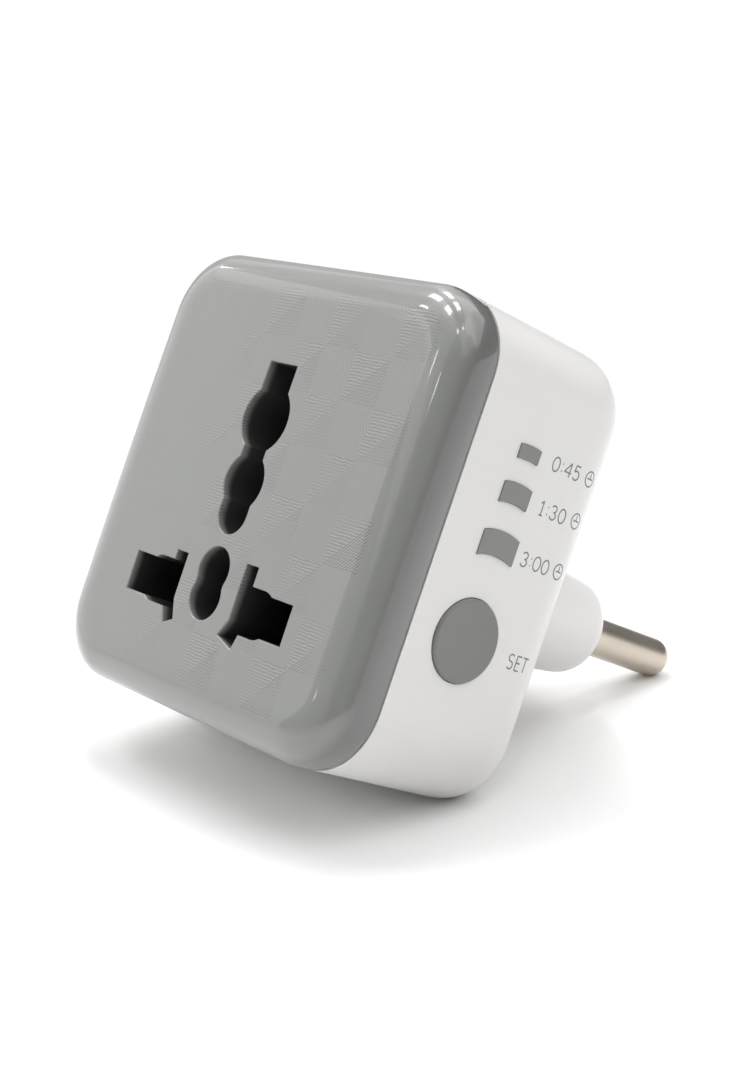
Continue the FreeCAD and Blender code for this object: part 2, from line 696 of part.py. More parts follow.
def controller_chip():
    """Small timer controller with a row of legs on each side."""
    x1 = CONTROL_INNER_X
    y0 = CONTROL_FRONT_Y + 2.2
    z0 = -3.0
    body = box(x1 - 1.5, x1 - 0.15, y0, y0 + 3.9, z0, z0 + 8.6)
    parts = [body]
    for row in range(7):
        z = z0 + 0.5 + row * 1.27
        parts.append(box(x1 - 0.8, x1 - 0.55, y0 - 0.8, y0 + 4.7, z - 0.2, z + 0.2))
        parts.append(box(x1 - 0.8, x1, y0 - 0.8, y0 - 0.55, z - 0.2, z + 0.2))
        parts.append(box(x1 - 0.8, x1, y0 + 4.45, y0 + 4.7, z - 0.2, z + 0.2))
    return fuse_all(parts)


def led(sizes):
    depth, width, height = LED_SIZE
    x = CONTROL_OUTER_X
    chip = box(x, x + depth, WINDOW_Y - width / 2, WINDOW_Y + width / 2,
               sizes["z"] - height / 2, sizes["z"] + height / 2)
    return chip.makeFillet(0.2, edges_at_x(chip, x + depth))


def light_shield():
    """Dark frame that keeps each light to its own window."""
    widest = max(sizes["width"] for sizes in WINDOWS.values())
    half = widest / 2 + WINDOW_FLANGE + SHIELD_WALL
    tops = [sizes["z"] + sizes["height"] / 2 for sizes in WINDOWS.values()]
    bottoms = [sizes["z"] - sizes["height"] / 2 for sizes in WINDOWS.values()]
    x0 = CONTROL_OUTER_X
    x1 = INNER_X - WINDOW_FLANGE_THICKNESS - 0.1
    frame = box(x0, x1, WINDOW_Y - half, WINDOW_Y + half,
                min(bottoms) - SHIELD_WALL, max(tops) + SHIELD_WALL)
    wells = []
    for sizes in WINDOWS.values():
        wells.append(box(x0 - 1, x1 + 1, WINDOW_Y - sizes["width"] / 2, WINDOW_Y + sizes["width"] / 2,
                         sizes["z"] - sizes["height"] / 2, sizes["z"] + sizes["height"] / 2))
    return frame.cut(wells)


def window(sizes):
    """Grey translucent pane that fills its hole and is held by an inside flange."""
    start = INNER_X
    pane = window_face(sizes, 0, start).extrude(Vector(wall_x_at(WINDOW_Y) + WINDOW_PROUD - start, 0, 0))
    flange = window_face(sizes, WINDOW_FLANGE, start - WINDOW_FLANGE_THICKNESS)
    flange = flange.extrude(Vector(WINDOW_FLANGE_THICKNESS, 0, 0))
    return pane.fuse(flange).removeSplitter()


# Button and switch

def set_button():
    """Round button cap with a flange that stops it behind the wall."""
    outer_x = wall_x_at(BUTTON_Y) + BUTTON_PROUD
    cap = rod_x(BUTTON_Y, BUTTON_Z, BUTTON_RADIUS, FLANGE_OUTER_X - 0.1, outer_x)
    cap = cap.makeFillet(BUTTON_ROUND, edges_at_x(cap, outer_x))
    flange = rod_x(BUTTON_Y, BUTTON_Z, BUTTON_RADIUS + FLANGE_EXTRA, FLANGE_INNER_X, FLANGE_OUTER_X)
    return cap.fuse(flange).removeSplitter()


def switch_body():
    half = SWITCH_SIDE / 2
    case = box(CONTROL_OUTER_X, SWITCH_TOP_X, BUTTON_Y - half, BUTTON_Y + half,
               BUTTON_Z - half, BUTTON_Z + half)
    bore_start = SWITCH_TOP_X - PLUNGER_DEPTH - BUTTON_TRAVEL - 0.1
    return case.cut(rod_x(BUTTON_Y, BUTTON_Z, PLUNGER_RADIUS + PLUNGER_GAP, bore_start, SWITCH_TOP_X + 1))


def switch_plunger():
    plunger = rod_x(BUTTON_Y, BUTTON_Z, PLUNGER_RADIUS, SWITCH_TOP_X - PLUNGER_DEPTH, PLUNGER_TIP_X)
    return plunger.makeFillet(0.15, edges_at_x(plunger, PLUNGER_TIP_X))


# Relay

def relay_box(grow, y0, y1):
    half_x = RELAY_WIDTH / 2 + grow
    half_z = RELAY_HEIGHT / 2 + grow
    return box(RELAY_X - half_x, RELAY_X + half_x, y0, y1, RELAY_Z - half_z, RELAY_Z + half_z)


def relay_base():
    """Relay floor with its five leads and the post of the fixed contact."""
    plate = relay_box(0, BOARD_FRONT_Y - RELAY_BASE, BOARD_FRONT_Y)
    leads = [lead(x, z, BOARD_FRONT_Y - 1) for x, z in relay_pins()]
    fixed_contact_y = contact_tip_y() + CONTACT_TRAVEL
    post = box(RELAY_X - 0.8, RELAY_X + 0.8, fixed_contact_y, BOARD_FRONT_Y - 1,
               contact_tip_z() - 0.6, contact_tip_z() + 0.6)
    return fuse_all([plate, post] + leads)


def relay_cover():
    shell = relay_box(0, RELAY_FRONT_Y, BOARD_FRONT_Y - RELAY_BASE)
    shell = shell.makeFillet(0.5, edges_at_y(shell, RELAY_FRONT_Y))
    return shell.cut(relay_box(-RELAY_SHELL, RELAY_FRONT_Y + RELAY_SHELL, BOARD_FRONT_Y))


def relay_top_z():
    return RELAY_Z + RELAY_HEIGHT / 2 - RELAY_SHELL


def yoke_z():
    return RELAY_Z - RELAY_HEIGHT / 2 + RELAY_SHELL + 2.0


def coil_z():
    return yoke_z() + YOKE_THICKNESS + COIL_RADIUS + COIL_FLANGE + 0.4


def coil_back_y():
    return BOARD_FRONT_Y - RELAY_BASE - YOKE_THICKNESS


def pole_y():
    return coil_back_y() - COIL_LENGTH - 0.6


def contact_tip_z():
    return relay_top_z() - 1.8


def contact_tip_y():
    return pole_y() - ARMATURE_GAP - ARMATURE_THICKNESS + 0.8


def relay_coil():
    """Wound bobbin on an iron core, whose pole stands out at the front."""
    front = coil_back_y() - COIL_LENGTH
    rim = COIL_RADIUS + COIL_FLANGE
    return fuse_all([
        rod_y(RELAY_X, coil_z(), COIL_RADIUS, front, coil_back_y()),
        rod_y(RELAY_X, coil_z(), rim, front, front + COIL_FLANGE),
        rod_y(RELAY_X, coil_z(), rim, coil_back_y() - COIL_FLANGE, coil_back_y()),
        rod_y(RELAY_X, coil_z(), CORE_RADIUS, pole_y(), coil_back_y()),
    ])


def relay_yoke():
    """Bent iron bracket: foot under the coil and an upright beside it."""
    half = ARMATURE_WIDTH / 2
    back = BOARD_FRONT_Y - RELAY_BASE
    foot = box(RELAY_X - half, RELAY_X + half, coil_back_y(), back,
               yoke_z(), coil_z() + COIL_RADIUS)
    upright = box(RELAY_X - half, RELAY_X + half, pole_y(), back, yoke_z(), yoke_z() + YOKE_THICKNESS)
    return foot.fuse(upright).removeSplitter()


def relay_armature():
    """Flat iron plate that rocks on the yoke's edge and is drawn to the pole."""
    half = ARMATURE_WIDTH / 2
    back = pole_y() - ARMATURE_GAP
    front = back - ARMATURE_THICKNESS
    return box(RELAY_X - half, RELAY_X + half, front, back,
               yoke_z() + YOKE_THICKNESS / 2, coil_z() + COIL_RADIUS)


def relay_contact_arm():
    """Springy bronze strip fixed on the armature, with the moving contact on its end."""
    back = pole_y() - ARMATURE_GAP - ARMATURE_THICKNESS
    arm = box(RELAY_X - 1.5, RELAY_X + 1.5, back - 0.3, back, coil_z() - 2.0, relay_top_z() - 1.0)
    tip = rod_y(RELAY_X, contact_tip_z(), 0.9, back, contact_tip_y())
    return arm.fuse(tip)


# Assembly and output

def build_parts():
    pins = {"pin_left": plug_pin(-1), "pin_right": plug_pin(1)}
    parts = {
        "front_cover": front_cover(),
        "rear_housing": rear_housing(pins.values()),
        "case_screws": case_screws(),
        "contact_holder": contact_holder(),
        "contact_left": spring_contact(-1),
        "contact_right": spring_contact(1),
        "main_board": main_board(),
        "relay_base": relay_base(),
        "relay_cover": relay_cover(),
        "relay_coil": relay_coil(),
        "relay_yoke": relay_yoke(),
        "relay_armature": relay_armature(),
        "relay_contact_arm": relay_contact_arm(),
        "dropper_capacitor": dropper_capacitor(),
        "smoothing_capacitor": round_component(smoothing_place(), SMOOTHING_RADIUS, SMOOTHING_LENGTH, 1.8),
        "varistor": varistor(),
        "fuse": round_component(fuse_place(), FUSE_RADIUS, FUSE_LENGTH, 2.5),
        "rectifier_diodes": axial_group(diode_places(), DIODE_RADIUS, DIODE_LENGTH),
        "dropper_resistors": axial_group(resistor_places(), RESISTOR_RADIUS, RESISTOR_LENGTH),
        "control_board": control_board(),
        "link_header": link_header(),
        "controller_chip": controller_chip(),
        "light_shield": light_shield(),
        "switch_body": switch_body(),
        "switch_plunger": switch_plunger(),
        "set_button": set_button(),
    }
    parts.update(pins)
    for name, sizes in WINDOWS.items():
        parts[name] = window(sizes)
        parts[name.replace("window", "led")] = led(sizes)
    return parts


os.makedirs("parts", exist_ok=True)
to_origin = Vector(0, -BOSS_END_Y, PIN_DROP)
for name, shape in build_parts().items():
    placed = shape.copy()
    placed.translate(to_origin)
    placed.exportStep("parts/" + name + ".step")
    box_size = placed.BoundBox
    print(f"{name:22s} valid={placed.isValid()} solids={len(placed.Solids)} volume={placed.Volume:9.2f} "
          f"x {box_size.XMin:7.2f} {box_size.XMax:7.2f} y {box_size.YMin:7.2f} {box_size.YMax:7.2f} "
          f"z {box_size.ZMin:7.2f} {box_size.ZMax:7.2f}")
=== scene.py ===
import bpy
import bmesh
import math
from mathutils import Matrix, Vector
from mathutils.bvhtree import BVHTree


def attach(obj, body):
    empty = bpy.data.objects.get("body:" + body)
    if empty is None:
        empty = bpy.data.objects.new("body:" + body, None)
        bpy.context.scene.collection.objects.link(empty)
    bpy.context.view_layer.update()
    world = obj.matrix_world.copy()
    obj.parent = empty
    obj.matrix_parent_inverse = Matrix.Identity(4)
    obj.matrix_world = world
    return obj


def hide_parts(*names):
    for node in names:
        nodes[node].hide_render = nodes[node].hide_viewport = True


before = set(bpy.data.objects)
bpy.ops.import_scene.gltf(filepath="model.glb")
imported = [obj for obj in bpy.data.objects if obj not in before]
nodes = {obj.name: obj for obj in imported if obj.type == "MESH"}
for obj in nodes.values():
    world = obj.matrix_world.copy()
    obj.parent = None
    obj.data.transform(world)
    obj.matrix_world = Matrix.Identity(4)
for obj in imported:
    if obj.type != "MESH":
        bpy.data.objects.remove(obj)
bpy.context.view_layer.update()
MM = 0.001

# Socket cover: the glossy grey ABS moulding that closes the front. Its edges
# run over in a soft elliptical round, the face is very slightly domed, and the
# socket's openings have softly rounded lips and guide tubes behind them.
FACE_Y = -45.2
FACE_Z = 2.95
HALF_FACE = 26.0
CORNER = 8.2
CORNER_STEPS = 24
SIDE_STEPS = 16
ROUND_SIDE = 5.3
ROUND_DEPTH = 3.66
ROUND_POWER = 2.3
ROUND_STEPS = 28
CROWN = 0.12
FACE_INSETS = (5.6, 6.0, 6.5, 7.2, 8.1, 12, 17, 22, 25)
SEAM = 6.1
SEAM_GAP = 0.1
SEAM_EASE = 0.26
SEAM_STEP = 0.08
TONGUE_INSET = 1.2
TONGUE_END = 8.6
COVER_WALL = 2.2
TUBE_WALL = 1.2
TUBE_START = 1.1
TUBE_END = 7.0
LIP = 0.2
LIP_STEPS = 4
LIP_START = 0.012
CUT_AHEAD = 1.0
CUT_BEYOND = 3
POST_AT = 18.9
POST_RADIUS = 2.6
POST_END = 20
POST_PLACES = [(x, z) for x in (-POST_AT, POST_AT) for z in (-POST_AT, POST_AT)]
DISC_SIDES = 64
SKIN_BEFORE_SEAM = 0.6
SKIN_NEAR = 0.003

# The openings, from the face's centre: the earth opening above, the round pin's
# opening in the middle and the two line openings, each a sum of plain outlines.
EARTH_SHAPES = [
    ("rect", -2.35, 2.35, 7.6, 13.9),
    ("disc", 0.0, 7.6, 3.87),
    ("rect", -1.95, 1.95, 0.3, 7.6),
    ("disc", 0.0, 0.3, 3.33),
    ("rect", -2.45, 2.45, -3.2, 0.3),
    ("disc", 0.0, -3.2, 2.45),
]
CENTRE_SHAPES = [
    ("disc", 0.0, -9.8, 2.63),
    ("disc", 0.0, -12.8, 2.63),
    ("rect", -2.35, 2.35, -12.8, -9.8),
]
LEFT_SHAPES = [
    ("rect", -14.6, -5.35, -14.995, -10.545),
    ("rect", -9.5, -5.35, -15.42, -10.12),
    ("disc", -9.5, -12.77, 2.65),
    ("rect", -7.35, -5.35, -12.77, -9.0),
    ("poly", (-7.1, -15.0), (-6.0, -17.1), (-4.4, -16.4), (-5.35, -14.2)),
]
RIGHT_SHAPES = [
    ("rect", 5.35, 14.6, -14.995, -10.545),
    ("rect", 5.35, 9.5, -15.42, -10.12),
    ("disc", 9.5, -12.77, 2.65),
    ("rect", 5.35, 7.35, -12.77, -8.0),
    ("poly", (7.6, -15.0), (7.0, -17.1), (4.2, -16.2), (5.35, -14.2)),
]


def place(x, depth, z):
    """Point given from the face's centre, in the frame's metres."""
    return Vector((x, FACE_Y + depth, FACE_Z + z)) * MM


def crown(x, z):
    """How far the domed face has dropped at a point."""
    drop = 0
    for value in (x, z):
        share = min(abs(value) / (HALF_FACE - ROUND_SIDE), 1)
        drop += CROWN * share ** 3 * (4 - 3 * share)
    return drop


def outline(inset):
    """Points round the cover's rounded square, moved inwards."""
    radius = max(CORNER - inset, 0.3)
    straight = HALF_FACE - inset - radius
    points = []
    for quarter in range(4):
        turn = quarter * math.pi / 2
        x = straight if quarter in (0, 3) else -straight
        z = straight if quarter in (0, 1) else -straight
        for step in range(CORNER_STEPS + 1):
            angle = turn + step / CORNER_STEPS * math.pi / 2
            points.append((x + radius * math.cos(angle), z + radius * math.sin(angle)))
        start = points[-1]
        for step in range(1, SIDE_STEPS):
            reach = step / SIDE_STEPS * 2 * straight
            points.append((start[0] - math.cos(turn) * reach, start[1] - math.sin(turn) * reach))
    return points


def set_down(name, data):
    """New object in the scene."""
    shape = bpy.data.objects.new(name, data)
    bpy.context.scene.collection.objects.link(shape)
    return shape


def skin(rings, name):
    """Closed piece through rings of points."""
    made = bmesh.new()
    loops = [[made.verts.new(point) for point in ring] for ring in rings]
    count = len(loops[0])
    for one, two in zip(loops, loops[1:]):
        for index in range(count):
            following = (index + 1) % count
            made.faces.new((one[index], one[following], two[following], two[index]))
    made.faces.new(loops[0][::-1])
    made.faces.new(loops[-1])
    bmesh.ops.recalc_face_normals(made, faces=made.faces[:])
    mesh = bpy.data.meshes.new(name)
    made.to_mesh(mesh)
    made.free()
    mesh.polygons.foreach_set("use_smooth", [True] * len(mesh.polygons))
    return set_down(name, mesh)


def cover_rings():
    """Rings from the tongue behind the seam, over the round edge, to the middle of the face."""
    rings = []
    edge = SEAM - SEAM_GAP
    for inset, depth in ((TONGUE_INSET, TONGUE_END), (TONGUE_INSET, edge), (SEAM_EASE, edge),
                         (SEAM_STEP, edge - SEAM_STEP), (0.0, edge - SEAM_EASE)):
        rings.append([place(x, depth, z) for x, z in outline(inset)])
    for step in range(ROUND_STEPS + 1):
        angle = step / ROUND_STEPS * math.pi / 2
        inset = ROUND_SIDE * (1 - max(math.cos(angle), 0) ** (2 / ROUND_POWER))
        depth = ROUND_DEPTH * (1 - math.sin(angle) ** (2 / ROUND_POWER))
        rings.append([place(x, depth + crown(x, z), z) for x, z in outline(inset)])
    for inset in FACE_INSETS:
        rings.append([place(x, crown(x, z), z) for x, z in outline(inset)])
    return rings


def shape_points(shape):
    """Corner points of one plain outline."""
    if shape[0] == "rect":
        _, x0, x1, z0, z1 = shape
        return [(x0, z0), (x1, z0), (x1, z1), (x0, z1)]
    if shape[0] == "disc":
        _, x, z, radius = shape
        turns = [step / DISC_SIDES * math.tau for step in range(DISC_SIDES)]
        return [(x + radius * math.cos(turn), z + radius * math.sin(turn)) for turn in turns]
    return list(shape[1:])


def grown(points, extra):
    """Outline moved outwards by extra, with square corners."""
    middle = sum((Vector(point) for point in points), Vector((0, 0))) / len(points)
    moved = []
    for index, point in enumerate(points):
        here = Vector(point)
        sides = []
        for other in (points[index - 1], points[(index + 1) % len(points)]):
            along = (Vector(other) - here).normalized()
            normal = Vector((along.y, -along.x))
            sides.append(normal if normal.dot(here - middle) > 0 else -normal)
        mitre = (sides[0] + sides[1]) / (1 + sides[0].dot(sides[1]))
        moved.append(here + mitre * extra)
    return moved


def block(shape, levels, name):
    """Solid on one plain outline, from levels of (depth, growth, follows the dome)."""
    points = shape_points(shape)
    rings = []
    for depth, extra, domed in levels:
        ring = []
        for point in grown(points, extra):
            drop = crown(point.x, point.y) if domed else 0
            ring.append(place(point.x, depth + drop, point.y))
        rings.append(ring)
    return skin(rings, name)


def opening_levels():
    """Levels that cut an opening with a round lip."""
    levels = [(-CUT_AHEAD, LIP, False), (-LIP_START, LIP, True)]
    for step in range(1, LIP_STEPS + 1):
        angle = step / LIP_STEPS * math.pi / 2
        depth = LIP * (1 - math.cos(angle)) - LIP_START
        levels.append((depth, LIP * (1 - math.sin(angle)), True))
    levels.append((TUBE_END + CUT_BEYOND, 0, False))
    return levels


def plain_mesh(shape):
    """Mesh of an object with its modifiers applied."""
    bpy.context.view_layer.update()
    graph = bpy.context.evaluated_depsgraph_get()
    return bpy.data.meshes.new_from_object(shape.evaluated_get(graph))


def join_or_cut(base, operation, blocks):
    """Applies one exact boolean with all the blocks together, then removes them."""
    group = bpy.data.collections.new("blocks")
    for shape in blocks:
        group.objects.link(shape)
    modifier = base.modifiers.new("cut", "BOOLEAN")
    modifier.operation = operation
    modifier.operand_type = "COLLECTION"
    modifier.collection = group
    modifier.solver = "EXACT"
    result = plain_mesh(base)
    base.modifiers.remove(modifier)
    base.data = result
    for shape in blocks:
        bpy.data.objects.remove(shape)
    bpy.data.collections.remove(group)


def follow_skin(piece, smooth, lowest):
    """Gives a cut piece the smooth normals of its uncut skin in front of a depth."""
    tree = BVHTree.FromObject(smooth, bpy.context.evaluated_depsgraph_get())
    group = piece.vertex_groups.new(name="skin")
    on_skin = []
    for vertex in piece.data.vertices:
        if vertex.co.y < lowest and tree.find_nearest(vertex.co)[3] < SKIN_NEAR * MM:
            on_skin.append(vertex.index)
    group.add(on_skin, 1.0, "REPLACE")
    modifier = piece.modifiers.new("normals", "DATA_TRANSFER")
    modifier.object = smooth
    modifier.use_loop_data = True
    modifier.data_types_loops = {"CUSTOM_NORMAL"}
    modifier.loop_mapping = "POLYINTERP_NEAREST"
    modifier.vertex_group = "skin"
    result = plain_mesh(piece)
    piece.modifiers.remove(modifier)
    piece.data = result
    bpy.data.objects.remove(smooth)


cover = skin(cover_rings(), "socket_cover")
uncut = set_down("uncut", cover.data.copy())
inner = [place(x, COVER_WALL, z) for x, z in outline(COVER_WALL)]
inner_end = [place(x, TONGUE_END + CUT_AHEAD, z) for x, z in outline(COVER_WALL)]
join_or_cut(cover, "DIFFERENCE", [skin([inner, inner_end], "hollow")])
shapes = EARTH_SHAPES + CENTRE_SHAPES + LEFT_SHAPES + RIGHT_SHAPES
tube_levels = [(TUBE_START, TUBE_WALL, False), (TUBE_END, TUBE_WALL, False)]
tubes = [block(shape, tube_levels, "tube") for shape in shapes]
post_levels = [(TUBE_START, 0, False), (POST_END, 0, False)]
posts = [block(("disc", x, z, POST_RADIUS), post_levels, "post") for x, z in POST_PLACES]
join_or_cut(cover, "UNION", tubes + posts)
join_or_cut(cover, "DIFFERENCE", [block(shape, opening_levels(), "opening") for shape in shapes])
cover.data.set_sharp_from_angle(angle=math.radians(30))
follow_skin(cover, uncut, (FACE_Y + SEAM - SKIN_BEFORE_SEAM) * MM)


# Moulded plastic as it leaves the tool: a faint clouding of tone and gloss and
# a fine grain. The group is placed in every plastic with its own values.
def shader_group(name, inputs, outputs):
    """New node group with its sockets, given as (name, kind, default)."""
    group = bpy.data.node_groups.new(name, "ShaderNodeTree")
    for title, kind, default in inputs:
        socket = group.interface.new_socket(name=title, in_out="INPUT", socket_type=kind)
        if default is not None:
            socket.default_value = default
    for title, kind in outputs:
        group.interface.new_socket(name=title, in_out="OUTPUT", socket_type=kind)
    return group, group.nodes.new("NodeGroupInput"), group.nodes.new("NodeGroupOutput")


def math_node(tree, operation, one, two=None, third=None):
    """Sum or other step on values, each a number or a socket."""
    node = tree.nodes.new("ShaderNodeMath")
    node.operation = operation
    for index, value in enumerate((one, two, third)):
        if value is None:
            continue
        if isinstance(value, (int, float)):
            node.inputs[index].default_value = value
        else:
            tree.links.new(value, node.inputs[index])
    return node.outputs[0]


def product(tree, first, *others):
    """Values multiplied together."""
    for other in others:
        first = math_node(tree, "MULTIPLY", first, other)
    return first


def noise_node(tree, vector, scale, detail=3.0, rough=0.5):
    """Cloudy value between 0 and 1."""
    node = tree.nodes.new("ShaderNodeTexNoise")
    node.inputs["Scale"].default_value = scale
    node.inputs["Detail"].default_value = detail
    node.inputs["Roughness"].default_value = rough
    tree.links.new(vector, node.inputs["Vector"])
    return node.outputs["Fac"]


def range_node(tree, value, low, high, to_low, to_high):
    """Value eased from one range to another."""
    node = tree.nodes.new("ShaderNodeMapRange")
    node.interpolation_type = "SMOOTHSTEP"
    tree.links.new(value, node.inputs["Value"])
    for title, number in (("From Min", low), ("From Max", high),
                          ("To Min", to_low), ("To Max", to_high)):
        node.inputs[title].default_value = number
    return node.outputs["Result"]


def mix_node(tree, factor, one, two):
    """Colour between two colours, each given or a socket."""
    node = tree.nodes.new("ShaderNodeMix")
    node.data_type = "RGBA"
    node.clamp_factor = True
    for socket, value in ((node.inputs[0], factor), (node.inputs[6], one), (node.inputs[7], two)):
        if isinstance(value, tuple):
            socket.default_value = (*value, 1.0)
        else:
            tree.links.new(value, socket)
    return node.outputs[2]


def scaled_node(tree, colour, shade):
    """Colour made lighter or darker by a value."""
    node = tree.nodes.new("ShaderNodeVectorMath")
    node.operation = "SCALE"
    if isinstance(colour, tuple):
        node.inputs[0].default_value = colour
    else:
        tree.links.new(colour, node.inputs[0])
    tree.links.new(shade, node.inputs["Scale"])
    return node.outputs[0]


def bump_node(tree, height, strength, distance):
    """Normal raised by a height, with its full height in metres."""
    node = tree.nodes.new("ShaderNodeBump")
    node.inputs["Strength"].default_value = strength
    node.inputs["Distance"].default_value = distance
    tree.links.new(height, node.inputs["Height"])
    return node.outputs["Normal"]


def new_material(name):
    """Material with a Principled shader, and the object's own coordinates."""
    material = bpy.data.materials.new(name)
    material.use_nodes = True
    tree = material.node_tree
    shader = tree.nodes["Principled BSDF"]
    coordinates = tree.nodes.new("ShaderNodeTexCoord").outputs["Object"]
    return material, tree, shader, coordinates


CLOUD_SCALE = 90.0
GLOSS_CHANGE = 0.12
plastic_skin, given, made = shader_group(
    "plastic_skin",
    [("Vector", "NodeSocketVector", None), ("Grain Size", "NodeSocketFloat", 5000.0),
     ("Tone", "NodeSocketFloat", 0.04), ("Roughness", "NodeSocketFloat", 0.3)],
    [("Shade", "NodeSocketFloat"), ("Roughness", "NodeSocketFloat"), ("Grain", "NodeSocketFloat")])
tree = plastic_skin
cloud = noise_node(tree, given.outputs["Vector"], CLOUD_SCALE, detail=4.0, rough=0.6)
grain = tree.nodes.new("ShaderNodeTexNoise")
tree.links.new(given.outputs["Vector"], grain.inputs["Vector"])
tree.links.new(given.outputs["Grain Size"], grain.inputs["Scale"])
grain.inputs["Detail"].default_value = 2.0
centred = math_node(tree, "SUBTRACT", cloud, 0.5)
shade = math_node(tree, "MULTIPLY_ADD", centred, given.outputs["Tone"], 1.0)
gloss = math_node(tree, "MULTIPLY_ADD", centred, GLOSS_CHANGE, given.outputs["Roughness"])
tree.links.new(shade, made.inputs["Shade"])
tree.links.new(gloss, made.inputs["Roughness"])
tree.links.new(grain.outputs["Fac"], made.inputs["Grain"])


def place_skin(tree, coordinates, tone, roughness):
    """The plastic skin group, placed in a material."""
    group = tree.nodes.new("ShaderNodeGroup")
    group.node_tree = plastic_skin
    tree.links.new(coordinates, group.inputs["Vector"])
    group.inputs["Tone"].default_value = tone
    group.inputs["Roughness"].default_value = roughness
    return group


def plastic(name, colour, roughness, tone, grain_size=5000.0, grain_depth=0.000004, coat=0.0):
    """Moulded plastic: an even colour with slight clouding and a fine grain."""
    material, tree, shader, coordinates = new_material(name)
    group = place_skin(tree, coordinates, tone, roughness)
    group.inputs["Grain Size"].default_value = grain_size
    tree.links.new(scaled_node(tree, colour, group.outputs["Shade"]), shader.inputs["Base Color"])
    tree.links.new(group.outputs["Roughness"], shader.inputs["Roughness"])
    grain_normal = bump_node(tree, group.outputs["Grain"], 0.4, grain_depth)
    tree.links.new(grain_normal, shader.inputs["Normal"])
    shader.inputs["Coat Weight"].default_value = coat
    shader.inputs["Coat Roughness"].default_value = 0.06
    return material


# Finish of the cover: grey plastic under a clear gloss. A chequer of squares is
# moulded into it: every second one carries level lines above its rising diagonal
# and slanting lines below it, and the others a faint falling hatch.
COVER_COLOUR = (0.266, 0.274, 0.262)
CELL = 5.6
PATTERN_HALF = 22.4
LEVEL_LINES = (0.0, 0.35, 0.4)
RISING_LINES = (0.78, 0.3, 0.12)
FALLING_LINES = (-0.88, 0.38, 0.25)
LEVEL_UNDER_RISING = 0.35
FALLING_START = 1.02
FALLING_SHARE = 0.36
LINE_SHADE = -0.46
SQUARE_SHADE = 0.24
LINE_HEIGHT = 0.00003
OPENING_REACH = 20.0
hatch_lines, given, made = shader_group(
    "hatch_lines",
    [("Vector", "NodeSocketVector", None), ("Angle", "NodeSocketFloat", 0.0),
     ("Pitch", "NodeSocketFloat", 0.35), ("Wobble", "NodeSocketFloat", 0.1)],
    [("Lines", "NodeSocketFloat")])
tree = hatch_lines
turned = tree.nodes.new("ShaderNodeVectorRotate")
turned.rotation_type = "Y_AXIS"
tree.links.new(given.outputs["Vector"], turned.inputs["Vector"])
tree.links.new(given.outputs["Angle"], turned.inputs["Angle"])
across = tree.nodes.new("ShaderNodeSeparateXYZ")
tree.links.new(turned.outputs["Vector"], across.inputs["Vector"])
waver = noise_node(tree, turned.outputs["Vector"], 1.4, detail=2.0)
shifted = math_node(tree, "MULTIPLY_ADD", waver, given.outputs["Wobble"], across.outputs["Z"])
turns = math_node(tree, "DIVIDE", shifted, given.outputs["Pitch"])
wave = math_node(tree, "SINE", product(tree, turns, math.tau))
tree.links.new(math_node(tree, "MULTIPLY_ADD", wave, 0.5, 0.5), made.inputs["Lines"])

cover_grey, tree, shader, coordinates = new_material("cover_grey")
to_millimetres = tree.nodes.new("ShaderNodeMapping")
to_millimetres.vector_type = "POINT"
to_millimetres.inputs["Scale"].default_value = (1 / MM, 1 / MM, 1 / MM)
to_millimetres.inputs["Location"].default_value = (0, 0, -FACE_Z)
tree.links.new(coordinates, to_millimetres.inputs["Vector"])
millimetres = to_millimetres.outputs["Vector"]
axes = tree.nodes.new("ShaderNodeSeparateXYZ")
tree.links.new(millimetres, axes.inputs["Vector"])
off_x = math_node(tree, "ABSOLUTE", axes.outputs["X"])
off_z = math_node(tree, "ABSOLUTE", axes.outputs["Z"])

# Squares of the chequer, and which of their halves a point lies in.
x_cells = math_node(tree, "DIVIDE", axes.outputs["X"], CELL)
z_cells = math_node(tree, "DIVIDE", axes.outputs["Z"], CELL)
x_share = math_node(tree, "FRACT", x_cells)
z_share = math_node(tree, "FRACT", z_cells)
x_count = math_node(tree, "FLOOR", x_cells)
z_count = math_node(tree, "FLOOR", z_cells)
half_sum = product(tree, math_node(tree, "ADD", x_count, z_count), 0.5)
odd = product(tree, math_node(tree, "FRACT", half_sum), 2.0)
even = math_node(tree, "SUBTRACT", 1.0, odd)
rise_over_run = math_node(tree, "SUBTRACT", z_share, x_share)
above = math_node(tree, "GREATER_THAN", rise_over_run, 0.0)
below = math_node(tree, "SUBTRACT", 1.0, above)
rise_and_run = math_node(tree, "ADD", z_share, x_share)
beyond = math_node(tree, "GREATER_THAN", rise_and_run, FALLING_START)
upper_rows = range_node(tree, axes.outputs["Z"], -2.0, 10.0, 0.0, 1.0)
falling_area = product(tree, odd, beyond, upper_rows)


def hatch(angle, pitch, wobble):
    """Lines at an angle, with their pitch and how much they waver."""
    group = tree.nodes.new("ShaderNodeGroup")
    group.node_tree = hatch_lines
    tree.links.new(millimetres, group.inputs["Vector"])
    group.inputs["Angle"].default_value = angle
    group.inputs["Pitch"].default_value = pitch
    group.inputs["Wobble"].default_value = wobble
    return group.outputs["Lines"]


